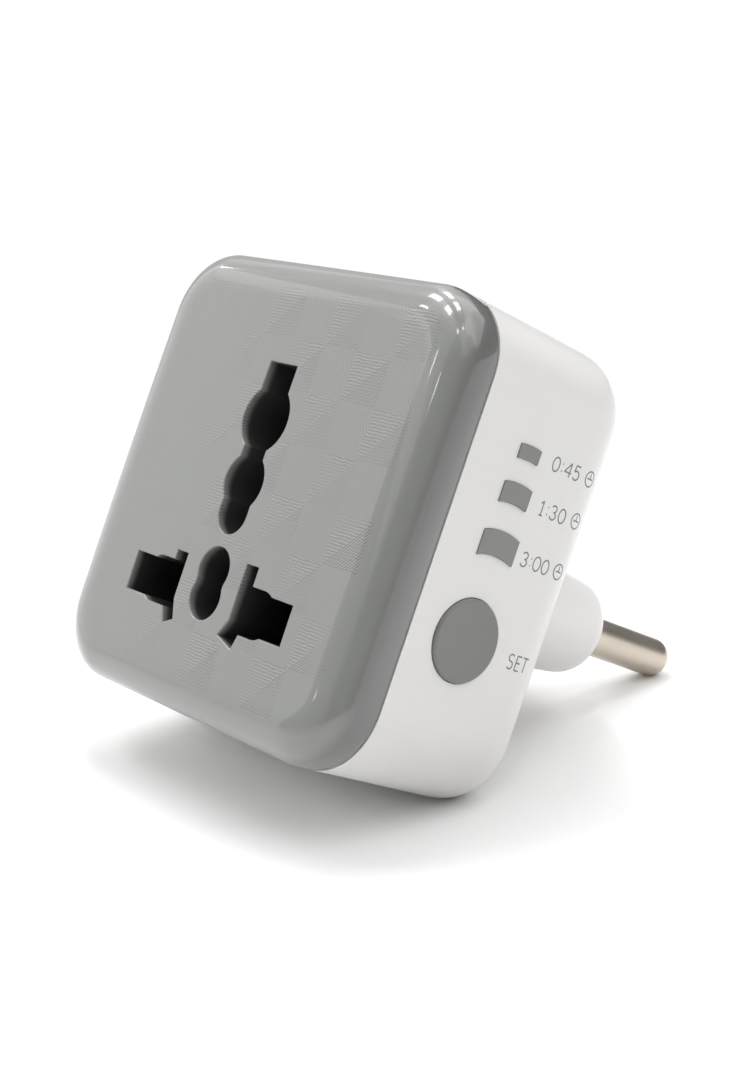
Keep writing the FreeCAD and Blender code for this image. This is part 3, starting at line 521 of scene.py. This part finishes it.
# Lines of the three kinds, kept to the face and fading to the left and in patches.
level = hatch(*LEVEL_LINES)
rising = hatch(*RISING_LINES)
falling = hatch(*FALLING_LINES)
level_part = product(tree, even, above, level)
crossed = math_node(tree, "MULTIPLY_ADD", level, LEVEL_UNDER_RISING, rising)
rising_part = product(tree, even, below, crossed)
falling_part = product(tree, falling_area, falling, FALLING_SHARE)
level_and_rising = math_node(tree, "ADD", level_part, rising_part)
lines = math_node(tree, "ADD", level_and_rising, falling_part)
inside_x = math_node(tree, "LESS_THAN", off_x, PATTERN_HALF)
inside_z = math_node(tree, "LESS_THAN", off_z, PATTERN_HALF)
on_face = math_node(tree, "LESS_THAN", axes.outputs["Y"], FACE_Y + 0.5)
to_right = range_node(tree, axes.outputs["X"], -15.0, 4.0, 0.2, 1.0)
patches = range_node(tree, noise_node(tree, millimetres, 0.16, detail=2.0), 0.38, 0.6, 0.35, 1.0)
presence = product(tree, inside_x, inside_z, on_face, to_right, patches)
relief = product(tree, lines, presence)
line_tone = math_node(tree, "MULTIPLY_ADD", relief, LINE_SHADE, 1.0)
lined_area = math_node(tree, "MULTIPLY_ADD", falling_area, FALLING_SHARE, even)
relief_tone = math_node(tree, "MULTIPLY_ADD", product(tree, lined_area, presence),
                        SQUARE_SHADE, line_tone)

# Painted shade: the cover's colour is darkened down the openings and along the outer side of the
# edge.
near_x = math_node(tree, "LESS_THAN", off_x, OPENING_REACH)
near_z = math_node(tree, "LESS_THAN", off_z, OPENING_REACH)
in_opening = product(tree, near_x, near_z)
on_edge = math_node(tree, "SUBTRACT", 1.0, in_opening)
down_opening = range_node(tree, axes.outputs["Y"], FACE_Y + 0.25, FACE_Y + 1.3, 0.0, 0.85)
down_edge = range_node(tree, axes.outputs["Y"], FACE_Y + 1.4, FACE_Y + 3.4, 0.0, 0.4)
painted_shade = math_node(tree, "MULTIPLY_ADD", on_edge, down_edge, product(tree, in_opening, down_opening))
group = place_skin(tree, coordinates, 0.03, 0.3)
shade = product(tree, relief_tone, group.outputs["Shade"], math_node(tree, "SUBTRACT", 1.0, painted_shade))
tree.links.new(scaled_node(tree, COVER_COLOUR, shade), shader.inputs["Base Color"])
tree.links.new(group.outputs["Roughness"], shader.inputs["Roughness"])
tree.links.new(bump_node(tree, relief, 0.35, LINE_HEIGHT), shader.inputs["Normal"])
shader.inputs["Coat Weight"].default_value = 1.0
shader.inputs["Coat Roughness"].default_value = 0.05
cover.data.materials.clear()
cover.data.materials.append(cover_grey)
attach(cover, "case")
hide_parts("front_cover")


# Socket contacts: a dark insulating block with a chamber behind each opening,
# and in it two spring contacts bent from bronze strip.
def dress(name, material):
    """Gives a CAD node its finish."""
    for slot in nodes[name].material_slots:
        slot.material = material


def metal(name, colour, roughness, brushed=(1, 1, 1), scale=400.0, depth=0.000003, uneven=0.3):
    """Bare metal with fine lines drawn along one direction."""
    material, tree, shader, coordinates = new_material(name)
    stretch = tree.nodes.new("ShaderNodeMapping")
    stretch.inputs["Scale"].default_value = brushed
    tree.links.new(coordinates, stretch.inputs["Vector"])
    lines = noise_node(tree, stretch.outputs["Vector"], scale, detail=4.0, rough=0.6)
    stain = range_node(tree, noise_node(tree, coordinates, 120.0), 0.3, 0.7, 0, 1)
    dark = tuple(value * 0.86 for value in colour)
    smooth, rough = roughness * (1 - uneven), roughness * (1 + uneven)
    tree.links.new(mix_node(tree, stain, dark, colour), shader.inputs["Base Color"])
    tree.links.new(range_node(tree, lines, 0.2, 0.8, smooth, rough), shader.inputs["Roughness"])
    tree.links.new(bump_node(tree, lines, 0.5, depth), shader.inputs["Normal"])
    shader.inputs["Metallic"].default_value = 1.0
    return material


dress("contact_holder", plastic("holder_dark", (0.035, 0.035, 0.037), 0.5, 0.3))
bronze = metal("contact_bronze", (0.62, 0.4, 0.2), 0.3, brushed=(1, 0.05, 1))
for name in ("contact_left", "contact_right", "relay_contact_arm"):
    dress(name, bronze)

# Circuit boards: glass-fibre laminate under a green lacquer, with copper
# tracks that show faintly through it.
LACQUER = (0.02, 0.12, 0.05, 1)
LACQUER_ON_COPPER = (0.025, 0.15, 0.06, 1)
LACQUER_BETWEEN = (0.015, 0.08, 0.035, 1)
FIBRE = (0.04, 0.2, 0.08)
board_green, tree, shader, coordinates = new_material("board_green")
tracks = tree.nodes.new("ShaderNodeTexBrick")
tracks.inputs["Scale"].default_value = 260.0
tracks.inputs["Mortar Size"].default_value = 0.06
tracks.inputs["Color1"].default_value = LACQUER
tracks.inputs["Color2"].default_value = LACQUER_ON_COPPER
tracks.inputs["Mortar"].default_value = LACQUER_BETWEEN
tree.links.new(coordinates, tracks.inputs["Vector"])
weave = product(tree, noise_node(tree, coordinates, 2500.0, detail=2.0), 0.5)
tree.links.new(mix_node(tree, weave, tracks.outputs["Color"], FIBRE), shader.inputs["Base Color"])
tree.links.new(bump_node(tree, tracks.outputs["Fac"], 0.3, 0.00002), shader.inputs["Normal"])
shader.inputs["Roughness"].default_value = 0.35
dress("main_board", board_green)
dress("control_board", board_green)

# Relay: a black moulded case and base round a bobbin wound with copper wire,
# the bent iron yoke and the plate that rocks on its edge. Each finish below is
# its colour, how metallic it is and its roughness.
TIN = ((0.6, 0.6, 0.58), 1.0, 0.3)
IRON = ((0.5, 0.49, 0.47), 1.0, 0.35)
BLACK = ((0.02, 0.02, 0.022), 0.0, 0.35)
WIRE = ((0.6, 0.27, 0.13), 1.0, 0.3)
# The darker copper between the turns is painted shade of the grooves between the wires.
SHADE_BETWEEN_WIRES = ((0.4, 0.16, 0.07), 1.0, 0.45)
RELAY_LEGS = -21.7
BOBBIN_START = -32.5
WINDING_START = -31.7
WINDING_END = -25.3
HALF_TURN = 0.267
WINDING_TURNS = 12


def layered(name, axis, finish, changes, mirrored=False):
    """Material that takes on another finish from each place on along one axis (mm)."""
    material, tree, shader, coordinates = new_material(name)
    group = place_skin(tree, coordinates, 0.3, 0.0)
    parts = tree.nodes.new("ShaderNodeSeparateXYZ")
    tree.links.new(coordinates, parts.inputs["Vector"])
    along = product(tree, parts.outputs[axis], 1 / MM)
    if mirrored:
        along = math_node(tree, "ABSOLUTE", along)
    colour, metallic, rough = finish
    for start, next_colour, next_metallic, next_rough in changes:
        step = math_node(tree, "GREATER_THAN", along, start)
        kept = math_node(tree, "SUBTRACT", 1.0, step)
        colour = mix_node(tree, step, colour, next_colour)
        metallic_kept = product(tree, kept, metallic)
        metallic = math_node(tree, "MULTIPLY_ADD", step, next_metallic, metallic_kept)
        rough_kept = product(tree, kept, rough)
        rough = math_node(tree, "MULTIPLY_ADD", step, next_rough, rough_kept)
    shaded = scaled_node(tree, colour, group.outputs["Shade"])
    clouded = math_node(tree, "ADD", rough, group.outputs["Roughness"])
    grain_normal = bump_node(tree, group.outputs["Grain"], 0.4, 0.000004)
    tree.links.new(shaded, shader.inputs["Base Color"])
    tree.links.new(metallic, shader.inputs["Metallic"])
    tree.links.new(clouded, shader.inputs["Roughness"])
    tree.links.new(grain_normal, shader.inputs["Normal"])
    return material


dress("relay_base", layered("relay_black", "Y", BLACK, [(RELAY_LEGS, *TIN)]))
dress("relay_cover", plastic("relay_case_black", BLACK[0], 0.35, 0.3, 2000.0, 0.00002))
winding = [(BOBBIN_START, *BLACK), (WINDING_START, *WIRE)]
for turn in range(1, 2 * WINDING_TURNS, 2):
    winding.append((WINDING_START + turn * HALF_TURN, *SHADE_BETWEEN_WIRES))
    winding.append((WINDING_START + (turn + 1) * HALF_TURN, *WIRE))
winding.append((WINDING_END, *BLACK))
dress("relay_coil", layered("coil_copper", "Y", IRON, winding))
iron = metal("iron_bright", IRON[0], 0.35)
dress("relay_yoke", iron)
dress("relay_armature", iron)

# Small mains supply: boxed, sleeved and dipped parts standing on the main
# board, with tinned wire leads. Rings of paint mark the diodes and resistors.
LEADS = (-22.3, *TIN)
FILM_LEADS = (-21.75, *TIN)
FILM_YELLOW = ((0.62, 0.36, 0.03), 0, 0.35)
CAN_TOP = ((0.5, 0.5, 0.5), 1, 0.35)
SLEEVE = (-34.2, (0.03, 0.035, 0.05), 0, 0.3)
VARISTOR_BLUE = ((0.03, 0.1, 0.36), 0, 0.4)
FUSE_BROWN = ((0.12, 0.05, 0.025), 0, 0.35)
dress("dropper_capacitor", layered("film_capacitor_yellow", "Y", FILM_YELLOW, [FILM_LEADS]))
dress("smoothing_capacitor", layered("capacitor_sleeve", "Y", CAN_TOP, [SLEEVE, LEADS]))
dress("varistor", layered("varistor_blue", "Y", VARISTOR_BLUE, [LEADS]))
dress("fuse", layered("fuse_brown", "Y", FUSE_BROWN, [LEADS]))
DIODE_BAND = ((0.55, 0.55, 0.55), 0, 0.4)
diode_rings = [(-21.21, *BLACK), (-20.6, *DIODE_BAND), (-19.9, *BLACK), (-16.99, *TIN)]
dress("rectifier_diodes", layered("diode_black", "X", TIN, diode_rings))
TAN = ((0.5, 0.36, 0.2), 0, 0.4)
PAINT_WIDTH = 0.5
PAINT_RINGS = ((4.0, (0.25, 0.02, 0.01)), (5.2, (0.3, 0.02, 0.3)),
               (6.4, (0.6, 0.45, 0.02)), (8.2, (0.5, 0.32, 0.05)))
resistor_rings = [(3.19, *TAN)]
for start, colour in PAINT_RINGS:
    resistor_rings += [(start, colour, 0, 0.4), (start + PAINT_WIDTH, *TAN)]
resistor_rings.append((9.61, *TIN))
dress("dropper_resistors", layered("resistor_tan", "X", TIN, resistor_rings, mirrored=True))

# Timer electronics: controller chip, header and push switch on the upright
# board, and a light behind each window inside a dark frame.
chip_layers = [(-35.41, *BLACK), (-31.49, *TIN)]
dress("controller_chip", layered("chip_black", "Y", TIN, chip_layers))
switch_black = plastic("switch_black", (0.025, 0.025, 0.025), 0.45, 0.3)
for name in ("link_header", "switch_body", "switch_plunger"):
    dress(name, switch_black)
dress("light_shield", plastic("shield_black", (0.03, 0.03, 0.03), 0.6, 0.3))
led_white = plastic("led_white", (0.75, 0.74, 0.62), 0.3, 0.1)
for hour in ("0h45", "1h30", "3h00"):
    dress("led_" + hour, led_white)

# Rear housing: the deep white ABS shell moulded round the plug pins, with a
# fine satin skin; the screws sit in deep wells in its back.
HOUSING_COLOUR = (0.855, 0.845, 0.828)
housing_white = plastic("housing_white", HOUSING_COLOUR, 0.33, 0.02,
                        grain_size=3000.0, grain_depth=0.000003, coat=0.25)
dress("rear_housing", housing_white)

# Time windows: grey translucent panes snapped into the wall from inside, each
# held by its flange.
window_grey = plastic("window_grey", (0.245, 0.247, 0.24), 0.25, 0.04)
for hour in ("0h45", "1h30", "3h00"):
    dress("window_" + hour, window_grey)

# SET button: a grey moulded cap with an eased rim and a shallow dish for the
# finger; its hidden flange stops it behind the wall.
BUTTON_PLACE = (14.15, -8.3)
BUTTON_TOP = 26.285
BUTTON_RADIUS = 4.53
BUTTON_SIDES = 96
FLANGE_START = 22.85
FLANGE_END = 23.75
FLANGE_RADIUS = 5.43
SHAFT_END = 25.0
RIM_EASE = 0.3
RIM_STEPS = 6
DISH_DEPTH = 0.16
DISH_RADII = (4.0, 3.6, 3.0, 2.4, 1.8, 1.2, 0.6, 0.1)
button_profile = [(FLANGE_START, FLANGE_RADIUS), (FLANGE_END, FLANGE_RADIUS),
                  (FLANGE_END, BUTTON_RADIUS), (SHAFT_END, BUTTON_RADIUS)]
for step in range(RIM_STEPS + 1):
    angle = step / RIM_STEPS * math.pi / 2
    button_profile.append((BUTTON_TOP - RIM_EASE * (1 - math.sin(angle)),
                           BUTTON_RADIUS - RIM_EASE * (1 - math.cos(angle))))
for radius in DISH_RADII:
    dish = 1 - (radius / (BUTTON_RADIUS - RIM_EASE)) ** 2
    button_profile.append((BUTTON_TOP - DISH_DEPTH * dish, radius))
button_rings = []
for along, radius in button_profile:
    ring = []
    for step in range(BUTTON_SIDES):
        turn = step / BUTTON_SIDES * math.tau
        depth = BUTTON_PLACE[0] + radius * math.cos(turn)
        ring.append(place(along, depth, BUTTON_PLACE[1] + radius * math.sin(turn)))
    button_rings.append(ring)
button = skin(button_rings, "button_cap")
button.data.set_sharp_from_angle(angle=math.radians(30))
button.data.materials.append(plastic("button_grey", (0.222, 0.224, 0.218), 0.38, 0.04))
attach(button, "button")
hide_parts("set_button")

# Plug pins: solid brass turned smooth and nickel plated, with faint rings left
# by the lathe. Their grooved roots are moulded into the boss.
pin_nickel = metal("pin_nickel", (0.62, 0.56, 0.48), 0.33, brushed=(0.3, 2, 0.3),
                   scale=500.0, depth=0.0000004, uneven=0.06)
dress("pin_left", pin_nickel)
dress("pin_right", pin_nickel)

# Case screws: four self-tapping screws of zinc-plated steel with pan heads and
# cross recesses, driven from the back into the cover's posts. One screw is
# modelled and a node tree sets it at the four corners.
WELL_FLOOR = 24.3
SCREW_SIDES = 32
SCREW_LENGTH = 12.2
SCREW_CORE = 1.0
SCREW_TAPER = 1.4
SCREW_POINT = 0.15
THREAD_STEPS = 120
THREAD_PITCH = 0.8
THREAD_HEIGHT = 0.26
THREAD_SLOPE = 4.5
HEAD_PROFILE = ((0.0, 2.1), (0.25, 2.25), (0.8, 2.25), (1.15, 2.1),
                (1.42, 1.75), (1.56, 1.2), (1.6, 0.5))
CROSS_HALF_WIDTH = 0.32
CROSS_REACH = 1.25
CROSS_FLOOR = 0.75
CROSS_RIM = 1.9
CROSS_NARROWING = 0.6
SQUARE = ((-1, -1), (1, -1), (1, 1), (-1, 1))


def screw_ring(along, radii):
    """Ring round the screw's axis, with a radius for each of its sides."""
    ring = []
    for step, radius in enumerate(radii):
        turn = step / SCREW_SIDES * math.tau
        ring.append(Vector((radius * math.cos(turn), along, radius * math.sin(turn))) * MM)
    return ring


rings = []
for index in range(THREAD_STEPS + 1):
    along = -SCREW_LENGTH + index * SCREW_LENGTH / THREAD_STEPS
    taper = min(1.0, (along + SCREW_LENGTH) / SCREW_TAPER)
    narrowed = SCREW_POINT + (1 - SCREW_POINT) * taper
    radii = []
    for step in range(SCREW_SIDES):
        share = (along / THREAD_PITCH - step / SCREW_SIDES) % 1
        tooth = max(0.0, 1 - abs(share - 0.5) * THREAD_SLOPE) * THREAD_HEIGHT
        radii.append((SCREW_CORE + tooth) * narrowed)
    rings.append(screw_ring(along, radii))
for along, radius in HEAD_PROFILE:
    rings.append(screw_ring(along, [radius] * SCREW_SIDES))
screw = skin(rings, "screw")
recess = []
for wide, deep in ((CROSS_HALF_WIDTH, CROSS_REACH), (CROSS_REACH, CROSS_HALF_WIDTH)):
    levels = []
    for along, share in ((CROSS_FLOOR, CROSS_NARROWING), (CROSS_RIM, 1)):
        levels.append([Vector((x * wide * share, along, z * deep * share)) * MM for x, z in SQUARE])
    recess.append(skin(levels, "recess"))
join_or_cut(screw, "DIFFERENCE", recess)
screw.data.set_sharp_from_angle(angle=math.radians(35))
screw_steel = metal("screw_steel", (0.5, 0.5, 0.49), 0.32)
screw.data.materials.clear()
screw.data.materials.append(screw_steel)

places_mesh = bpy.data.meshes.new("screw_places")
places_mesh.from_pydata([place(x, WELL_FLOOR, z) for x, z in POST_PLACES], [], [])
screws = set_down("case_screw_set", places_mesh)
repeat = bpy.data.node_groups.new("screw_at_each_post", "GeometryNodeTree")
given_sockets = {}
for title, kind in (("Geometry", "NodeSocketGeometry"), ("Screw", "NodeSocketObject"),
                    ("Turn", "NodeSocketFloat"), ("Finish", "NodeSocketMaterial")):
    socket = repeat.interface.new_socket(name=title, in_out="INPUT", socket_type=kind)
    given_sockets[title] = socket.identifier
repeat.interface.new_socket(name="Geometry", in_out="OUTPUT", socket_type="NodeSocketGeometry")
given = repeat.nodes.new("NodeGroupInput")
made = repeat.nodes.new("NodeGroupOutput")
info = repeat.nodes.new("GeometryNodeObjectInfo")
repeat.links.new(given.outputs["Screw"], info.inputs["Object"])
index = repeat.nodes.new("GeometryNodeInputIndex")
angle = math_node(repeat, "MULTIPLY", index.outputs[0], given.outputs["Turn"])
spin = repeat.nodes.new("ShaderNodeCombineXYZ")
repeat.links.new(angle, spin.inputs["Y"])
instances = repeat.nodes.new("GeometryNodeInstanceOnPoints")
repeat.links.new(given.outputs["Geometry"], instances.inputs["Points"])
repeat.links.new(info.outputs["Geometry"], instances.inputs["Instance"])
repeat.links.new(spin.outputs[0], instances.inputs["Rotation"])
realised = repeat.nodes.new("GeometryNodeRealizeInstances")
repeat.links.new(instances.outputs[0], realised.inputs[0])
finish = repeat.nodes.new("GeometryNodeSetMaterial")
repeat.links.new(realised.outputs[0], finish.inputs["Geometry"])
repeat.links.new(given.outputs["Finish"], finish.inputs["Material"])
repeat.links.new(finish.outputs[0], made.inputs[0])
modifier = screws.modifiers.new("repeat", "NODES")
modifier.node_group = repeat
modifier[given_sockets["Screw"]] = screw
modifier[given_sockets["Turn"]] = 0.7
modifier[given_sockets["Finish"]] = screw_steel
plain = plain_mesh(screws)
screws.modifiers.remove(modifier)
screws.data = plain
bpy.data.objects.remove(screw)
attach(screws, "case")
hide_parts("case_screws")

# Print on the right side: thin grey figures, a small clock face beside each
# time and the word on the button, pad printed on the white wall.
PRINT_HALF = 0.085
PRINT_RISE = 0.012
PRINT_STEP = 0.15


def arc(across, up, wide, high, start, end, steps=18):
    """Points of an ellipse arc; the angles are in degrees from the right, turning upwards."""
    turns = [math.radians(start + (end - start) * step / steps) for step in range(steps + 1)]
    return [(across + wide * math.cos(turn), up + high * math.sin(turn)) for turn in turns]


# Each sign's strokes in a box one wide and one high, then the signs in their
# places on the wall: start and end behind the face, lower and upper edge.
STROKES = {
    "0": [arc(0.5, 0.5, 0.5, 0.5, 90, 450, 36)],
    "1": [[(0.1, 0.8), (0.62, 1.0), (0.62, 0.0)], [(0.2, 0.0), (1.0, 0.0)]],
    "3": [arc(0.45, 0.76, 0.42, 0.24, 160, -90) + arc(0.45, 0.26, 0.5, 0.26, 90, -165)],
    "4": [[(0.78, 0.0), (0.78, 1.0), (0.0, 0.3), (1.0, 0.3)]],
    "5": [[(0.9, 1.0), (0.18, 1.0), (0.1, 0.55)] + arc(0.45, 0.32, 0.5, 0.32, 130, -150)],
    ":": [arc(0.5, 0.24, 0.02, 0.012, 0, 360, 6), arc(0.5, 0.7, 0.02, 0.012, 0, 360, 6)],
    "S": [arc(0.5, 0.76, 0.45, 0.24, 35, 270) + arc(0.5, 0.26, 0.48, 0.26, 90, -145)],
    "E": [[(1.0, 1.0), (0.1, 1.0), (0.1, 0.0), (1.0, 0.0)], [(0.1, 0.52), (0.88, 0.52)]],
    "T": [[(0.0, 1.0), (1.0, 1.0)], [(0.5, 1.0), (0.5, 0.0)]],
}
FIGURES = [
    ("0", 18.1, 19.3, 11.5, 13.2), (":", 19.6, 19.9, 11.5, 13.2),
    ("4", 20.1, 21.35, 11.5, 13.2), ("5", 21.55, 22.65, 11.5, 13.2),
    ("1", 18.3, 19.15, 6.65, 8.35), (":", 19.55, 19.85, 6.65, 8.35),
    ("3", 20.15, 21.2, 6.65, 8.35), ("0", 21.45, 22.65, 6.65, 8.35),
    ("3", 18.2, 19.3, 0.95, 2.65), (":", 19.6, 19.9, 0.95, 2.65),
    ("0", 20.1, 21.35, 0.95, 2.65), ("0", 21.5, 22.7, 0.95, 2.65),
    ("S", 21.2, 22.2, -9.7, -7.95), ("E", 22.4, 23.3, -9.7, -7.95),
    ("T", 23.4, 24.5, -9.7, -7.95),
]
CLOCKS = [(24.5, 12.35), (24.5, 7.6), (24.4, 1.85)]
CLOCK_RADIUS = 0.92
LONG_HAND = 0.72
SHORT_HAND = 0.62


def split(line):
    """The same line with points close enough together to bend with the wall."""
    close = [line[0]]
    for one, two in zip(line, line[1:]):
        count = max(1, math.ceil(math.dist(one, two) / PRINT_STEP))
        for step in range(1, count + 1):
            share = step / count
            close.append((one[0] + (two[0] - one[0]) * share, one[1] + (two[1] - one[1]) * share))
    return close


def printed(lines, name):
    """Rounded strokes along lines given by depth and height, laid on the wall."""
    curve = bpy.data.curves.new(name, "CURVE")
    curve.dimensions = "3D"
    curve.bevel_depth = PRINT_HALF
    curve.bevel_resolution = 2
    curve.use_fill_caps = True
    for line in [split(line) for line in lines]:
        closed = (Vector(line[0]) - Vector(line[-1])).length < 1e-6
        spline = curve.splines.new("POLY")
        kept = line[:-1] if closed else line
        spline.points.add(len(kept) - 1)
        for point, (depth, height) in zip(spline.points, kept):
            point.co = (0, depth, height, 1)
        spline.use_cyclic_u = closed
    holder = set_down(name, curve)
    mesh = plain_mesh(holder)
    bpy.data.objects.remove(holder)
    wall = BVHTree.FromObject(nodes["rear_housing"], bpy.context.evaluated_depsgraph_get())
    for vertex in mesh.vertices:
        rise = vertex.co.x / PRINT_HALF * PRINT_RISE
        outside = place(40, vertex.co.y, vertex.co.z)
        met, normal, _, _ = wall.ray_cast(outside, Vector((-1, 0, 0)))
        vertex.co = met + normal * rise * MM
    return set_down(name, mesh)


lines = []
for sign, left, end, low, high in FIGURES:
    for stroke in STROKES[sign]:
        margin = PRINT_HALF if sign != ":" else 0
        wide = end - left - 2 * margin
        tall = high - low - 2 * margin
        lines.append([(left + margin + px * wide, low + margin + pz * tall) for px, pz in stroke])
for depth, height in CLOCKS:
    ring = CLOCK_RADIUS - PRINT_HALF
    side = ring * SHORT_HAND
    lines.append(arc(depth, height, ring, ring, 0, 360, 40))
    lines.append([(depth, height + ring * LONG_HAND), (depth, height), (depth + side, height)])
    lines.append([(depth - side, height), (depth, height)])
print_grey = plastic("print_grey", (0.2, 0.2, 0.2), 0.5, 0.1)
figures = printed(lines, "side_print")
figures.data.materials.clear()
figures.data.materials.append(print_grey)
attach(figures, "case")

# Table that the timer stands on: it leans on its pin tips and on the rounded
# lower edge of its back, so the table slopes in the part's own directions.
# White paper, which fades into the white background away from the timer.
TIP = Vector((17.05, -0.45))
TIP_RADIUS = 1.95
HEEL = Vector((-22.0, -17.04))
HEEL_RADIUS = 5.7
TABLE_REACH = 6.0
between = TIP - HEEL
lean = math.atan2(between.y, between.x)
lean += math.asin((HEEL_RADIUS - TIP_RADIUS) / between.length)
table_up = Vector((0, -math.sin(lean), math.cos(lean)))
table_back = Vector((0, math.cos(lean), math.sin(lean)))
under_tip = Vector((0, TIP.x, TIP.y)) * MM - table_up * TIP_RADIUS * MM


def on_table(right, back):
    """Point on the table, right of and behind the pin tips, in metres."""
    return under_tip + Vector((right, 0, 0)) + table_back * back


table_mesh = bpy.data.meshes.new("table")
corners = [on_table(x * TABLE_REACH, y * TABLE_REACH) for x, y in SQUARE]
table_mesh.from_pydata(corners, [], [(0, 1, 2, 3)])
table = set_down("table", table_mesh)
paper, tree, shader, coordinates = new_material("white_paper")
shader.inputs["Base Color"].default_value = (0.8, 0.8, 0.8, 1)
shader.inputs["Roughness"].default_value = 0.9
shader.inputs["Specular IOR Level"].default_value = 0.1
seen = tree.nodes.new("ShaderNodeBsdfDiffuse")
seen.inputs["Color"].default_value = (0.97, 0.97, 0.97, 1)
blank = tree.nodes.new("ShaderNodeEmission")
clear = tree.nodes.new("ShaderNodeBsdfTransparent")
path = tree.nodes.new("ShaderNodeLightPath")
geometry = tree.nodes.new("ShaderNodeNewGeometry")
distance = tree.nodes.new("ShaderNodeVectorMath")
distance.operation = "DISTANCE"
distance.inputs[1].default_value = on_table(-0.01, -0.03)
tree.links.new(coordinates, distance.inputs[0])
far = range_node(tree, distance.outputs["Value"], 0.07, 0.22, 0.0, 1.0)
shown = math_node(tree, "MAXIMUM", path.outputs["Is Camera Ray"], path.outputs["Is Glossy Ray"])
from_under = product(tree, geometry.outputs["Backfacing"], path.outputs["Is Camera Ray"])


def mixed_shaders(tree, factor, one, two):
    """Surface between two surfaces."""
    node = tree.nodes.new("ShaderNodeMixShader")
    for socket, value in zip(node.inputs, (factor, one, two)):
        tree.links.new(value, socket)
    return node.outputs[0]


near_or_far = mixed_shaders(tree, far, seen.outputs[0], blank.outputs[0])
to_camera = mixed_shaders(tree, shown, shader.outputs[0], near_or_far)
surface = mixed_shaders(tree, from_under, to_camera, clear.outputs[0])
tree.links.new(surface, tree.nodes["Material Output"].inputs["Surface"])
table_mesh.materials.append(paper)

# Studio: a dim even room that looks white to the camera, and soft boxes all
# round the timer, low ones just above the table and high ones above them.
world = bpy.data.worlds.new("studio")
world.use_nodes = True
bpy.context.scene.world = world
tree = world.node_tree
ambient = tree.nodes["Background"]
ambient.inputs["Color"].default_value = (1, 1, 1, 1)
ambient.inputs["Strength"].default_value = 0.11
backdrop = tree.nodes.new("ShaderNodeBackground")
backdrop.inputs["Color"].default_value = (1, 1, 1, 1)
path = tree.nodes.new("ShaderNodeLightPath")
room = mixed_shaders(tree, path.outputs["Is Camera Ray"], ambient.outputs[0], backdrop.outputs[0])
tree.links.new(room, tree.nodes["World Output"].inputs["Surface"])

# Each soft box: turn from the front to the right and rise above the table in
# degrees, width and height in metres, power in watts.
TIMER_MIDDLE = Vector((0, -0.02, 0.003))
SOFTBOX_AWAY = 1.5
SOFTBOXES = [
    ("low_left", -113, 17, 1.3, 1.0, 1.6),
    ("low_front_left", -68, 17, 1.3, 1.0, 4.3),
    ("low_front", -20.5, 17, 1.3, 1.0, 1.6),
    ("low_right", 112, 17, 1.3, 1.0, 0.75),
    ("high_back_left", -150, 52, 1.4, 1.2, 3.8),
    ("high_left", -90, 52, 1.4, 1.2, 2.81),
    ("high_front_left", -30, 52, 1.4, 1.2, 3.34),
    ("high_front_right", 30, 52, 1.4, 1.2, 0.9),
    ("high_right", 90, 52, 1.4, 1.2, 4.2),
    ("high_back_right", 150, 52, 1.9, 1.6, 12.4),
]


def softbox(name, turn, rise, away, width, height, power, along=None):
    """Area lamp that faces the timer, level unless another direction is given."""
    side, climb = math.radians(turn), math.radians(rise)
    level = Vector((math.sin(side), 0, 0)) - table_back * math.cos(side)
    outward = level * math.cos(climb) + table_up * math.sin(climb)
    along = along or table_up.cross(outward)
    across = (along - outward * along.dot(outward)).normalized()
    lamp = bpy.data.lights.new(name, "AREA")
    lamp.shape = "RECTANGLE"
    lamp.size = width
    lamp.size_y = height
    lamp.energy = power
    box = set_down(name, lamp)
    box.matrix_world = Matrix((across, outward.cross(across), outward)).transposed().to_4x4()
    box.location = TIMER_MIDDLE + outward * away
    box.visible_camera = False


for name, turn, rise, wide, high, power in SOFTBOXES:
    softbox(name, turn, rise, SOFTBOX_AWAY, wide, high, power)

# The room's window, which shines in the gloss at the cover's corners: small
# panes nearer to the timer, all equally bright for their size.
PANE_AWAY = 1.05
PANE_GLOW = 10.8
window_side = Vector((0.9, 0, 0)) - table_back * 0.4 + table_up * 0.2
PANES = [
    ("pane_1", -84, 55, 0.25, 0.16),
    ("pane_2", -118, 61.5, 0.27, 0.13),
    ("pane_3", -47, 69, 0.2, 0.18),
    ("pane_4", -125, 82, 0.25, 0.19),
    ("pane_5", -63, 41.5, 0.11, 0.05),
    ("pane_6", 63, 67.5, 0.06, 0.12),
    ("pane_7", 25, 63.5, 0.09, 0.09),
    ("pane_8", -25, 36, 0.04, 0.06),
    ("pane_9", 4, 36, 0.05, 0.02),
    ("pane_10", -86, 34, 0.05, 0.03),
    ("pane_11", -32, 18, 0.03, 0.04),
]
for name, turn, rise, wide, high in PANES:
    power = PANE_GLOW * math.pi * wide * high
    softbox(name, turn, rise, PANE_AWAY, wide, high, power, window_side)

# Camera: in front and to the right of the timer, at the photograph's own
# viewing angle. The place is in millimetres.
CAMERA_PLACE = Vector((168.41, -172.32, -4.08))
CAMERA_RIGHT = Vector((0.63171, 0.70542, 0.32144))
CAMERA_UP = Vector((-0.19332, -0.25819, 0.94655))
lens = bpy.data.cameras.new("camera")
lens.lens = 64.286
lens.sensor_width = 36.0
lens.clip_start = 0.01
lens.clip_end = 50.0
camera = set_down("camera", lens)
right = CAMERA_RIGHT.normalized()
up = CAMERA_UP.normalized()
turned = Matrix((right, up, right.cross(up).normalized())).transposed().to_4x4()
camera.matrix_world = Matrix.Translation(CAMERA_PLACE * MM) @ turned
bpy.context.scene.camera = camera
bpy.context.scene.view_settings.view_transform = "Standard"

bpy.context.view_layer.update()
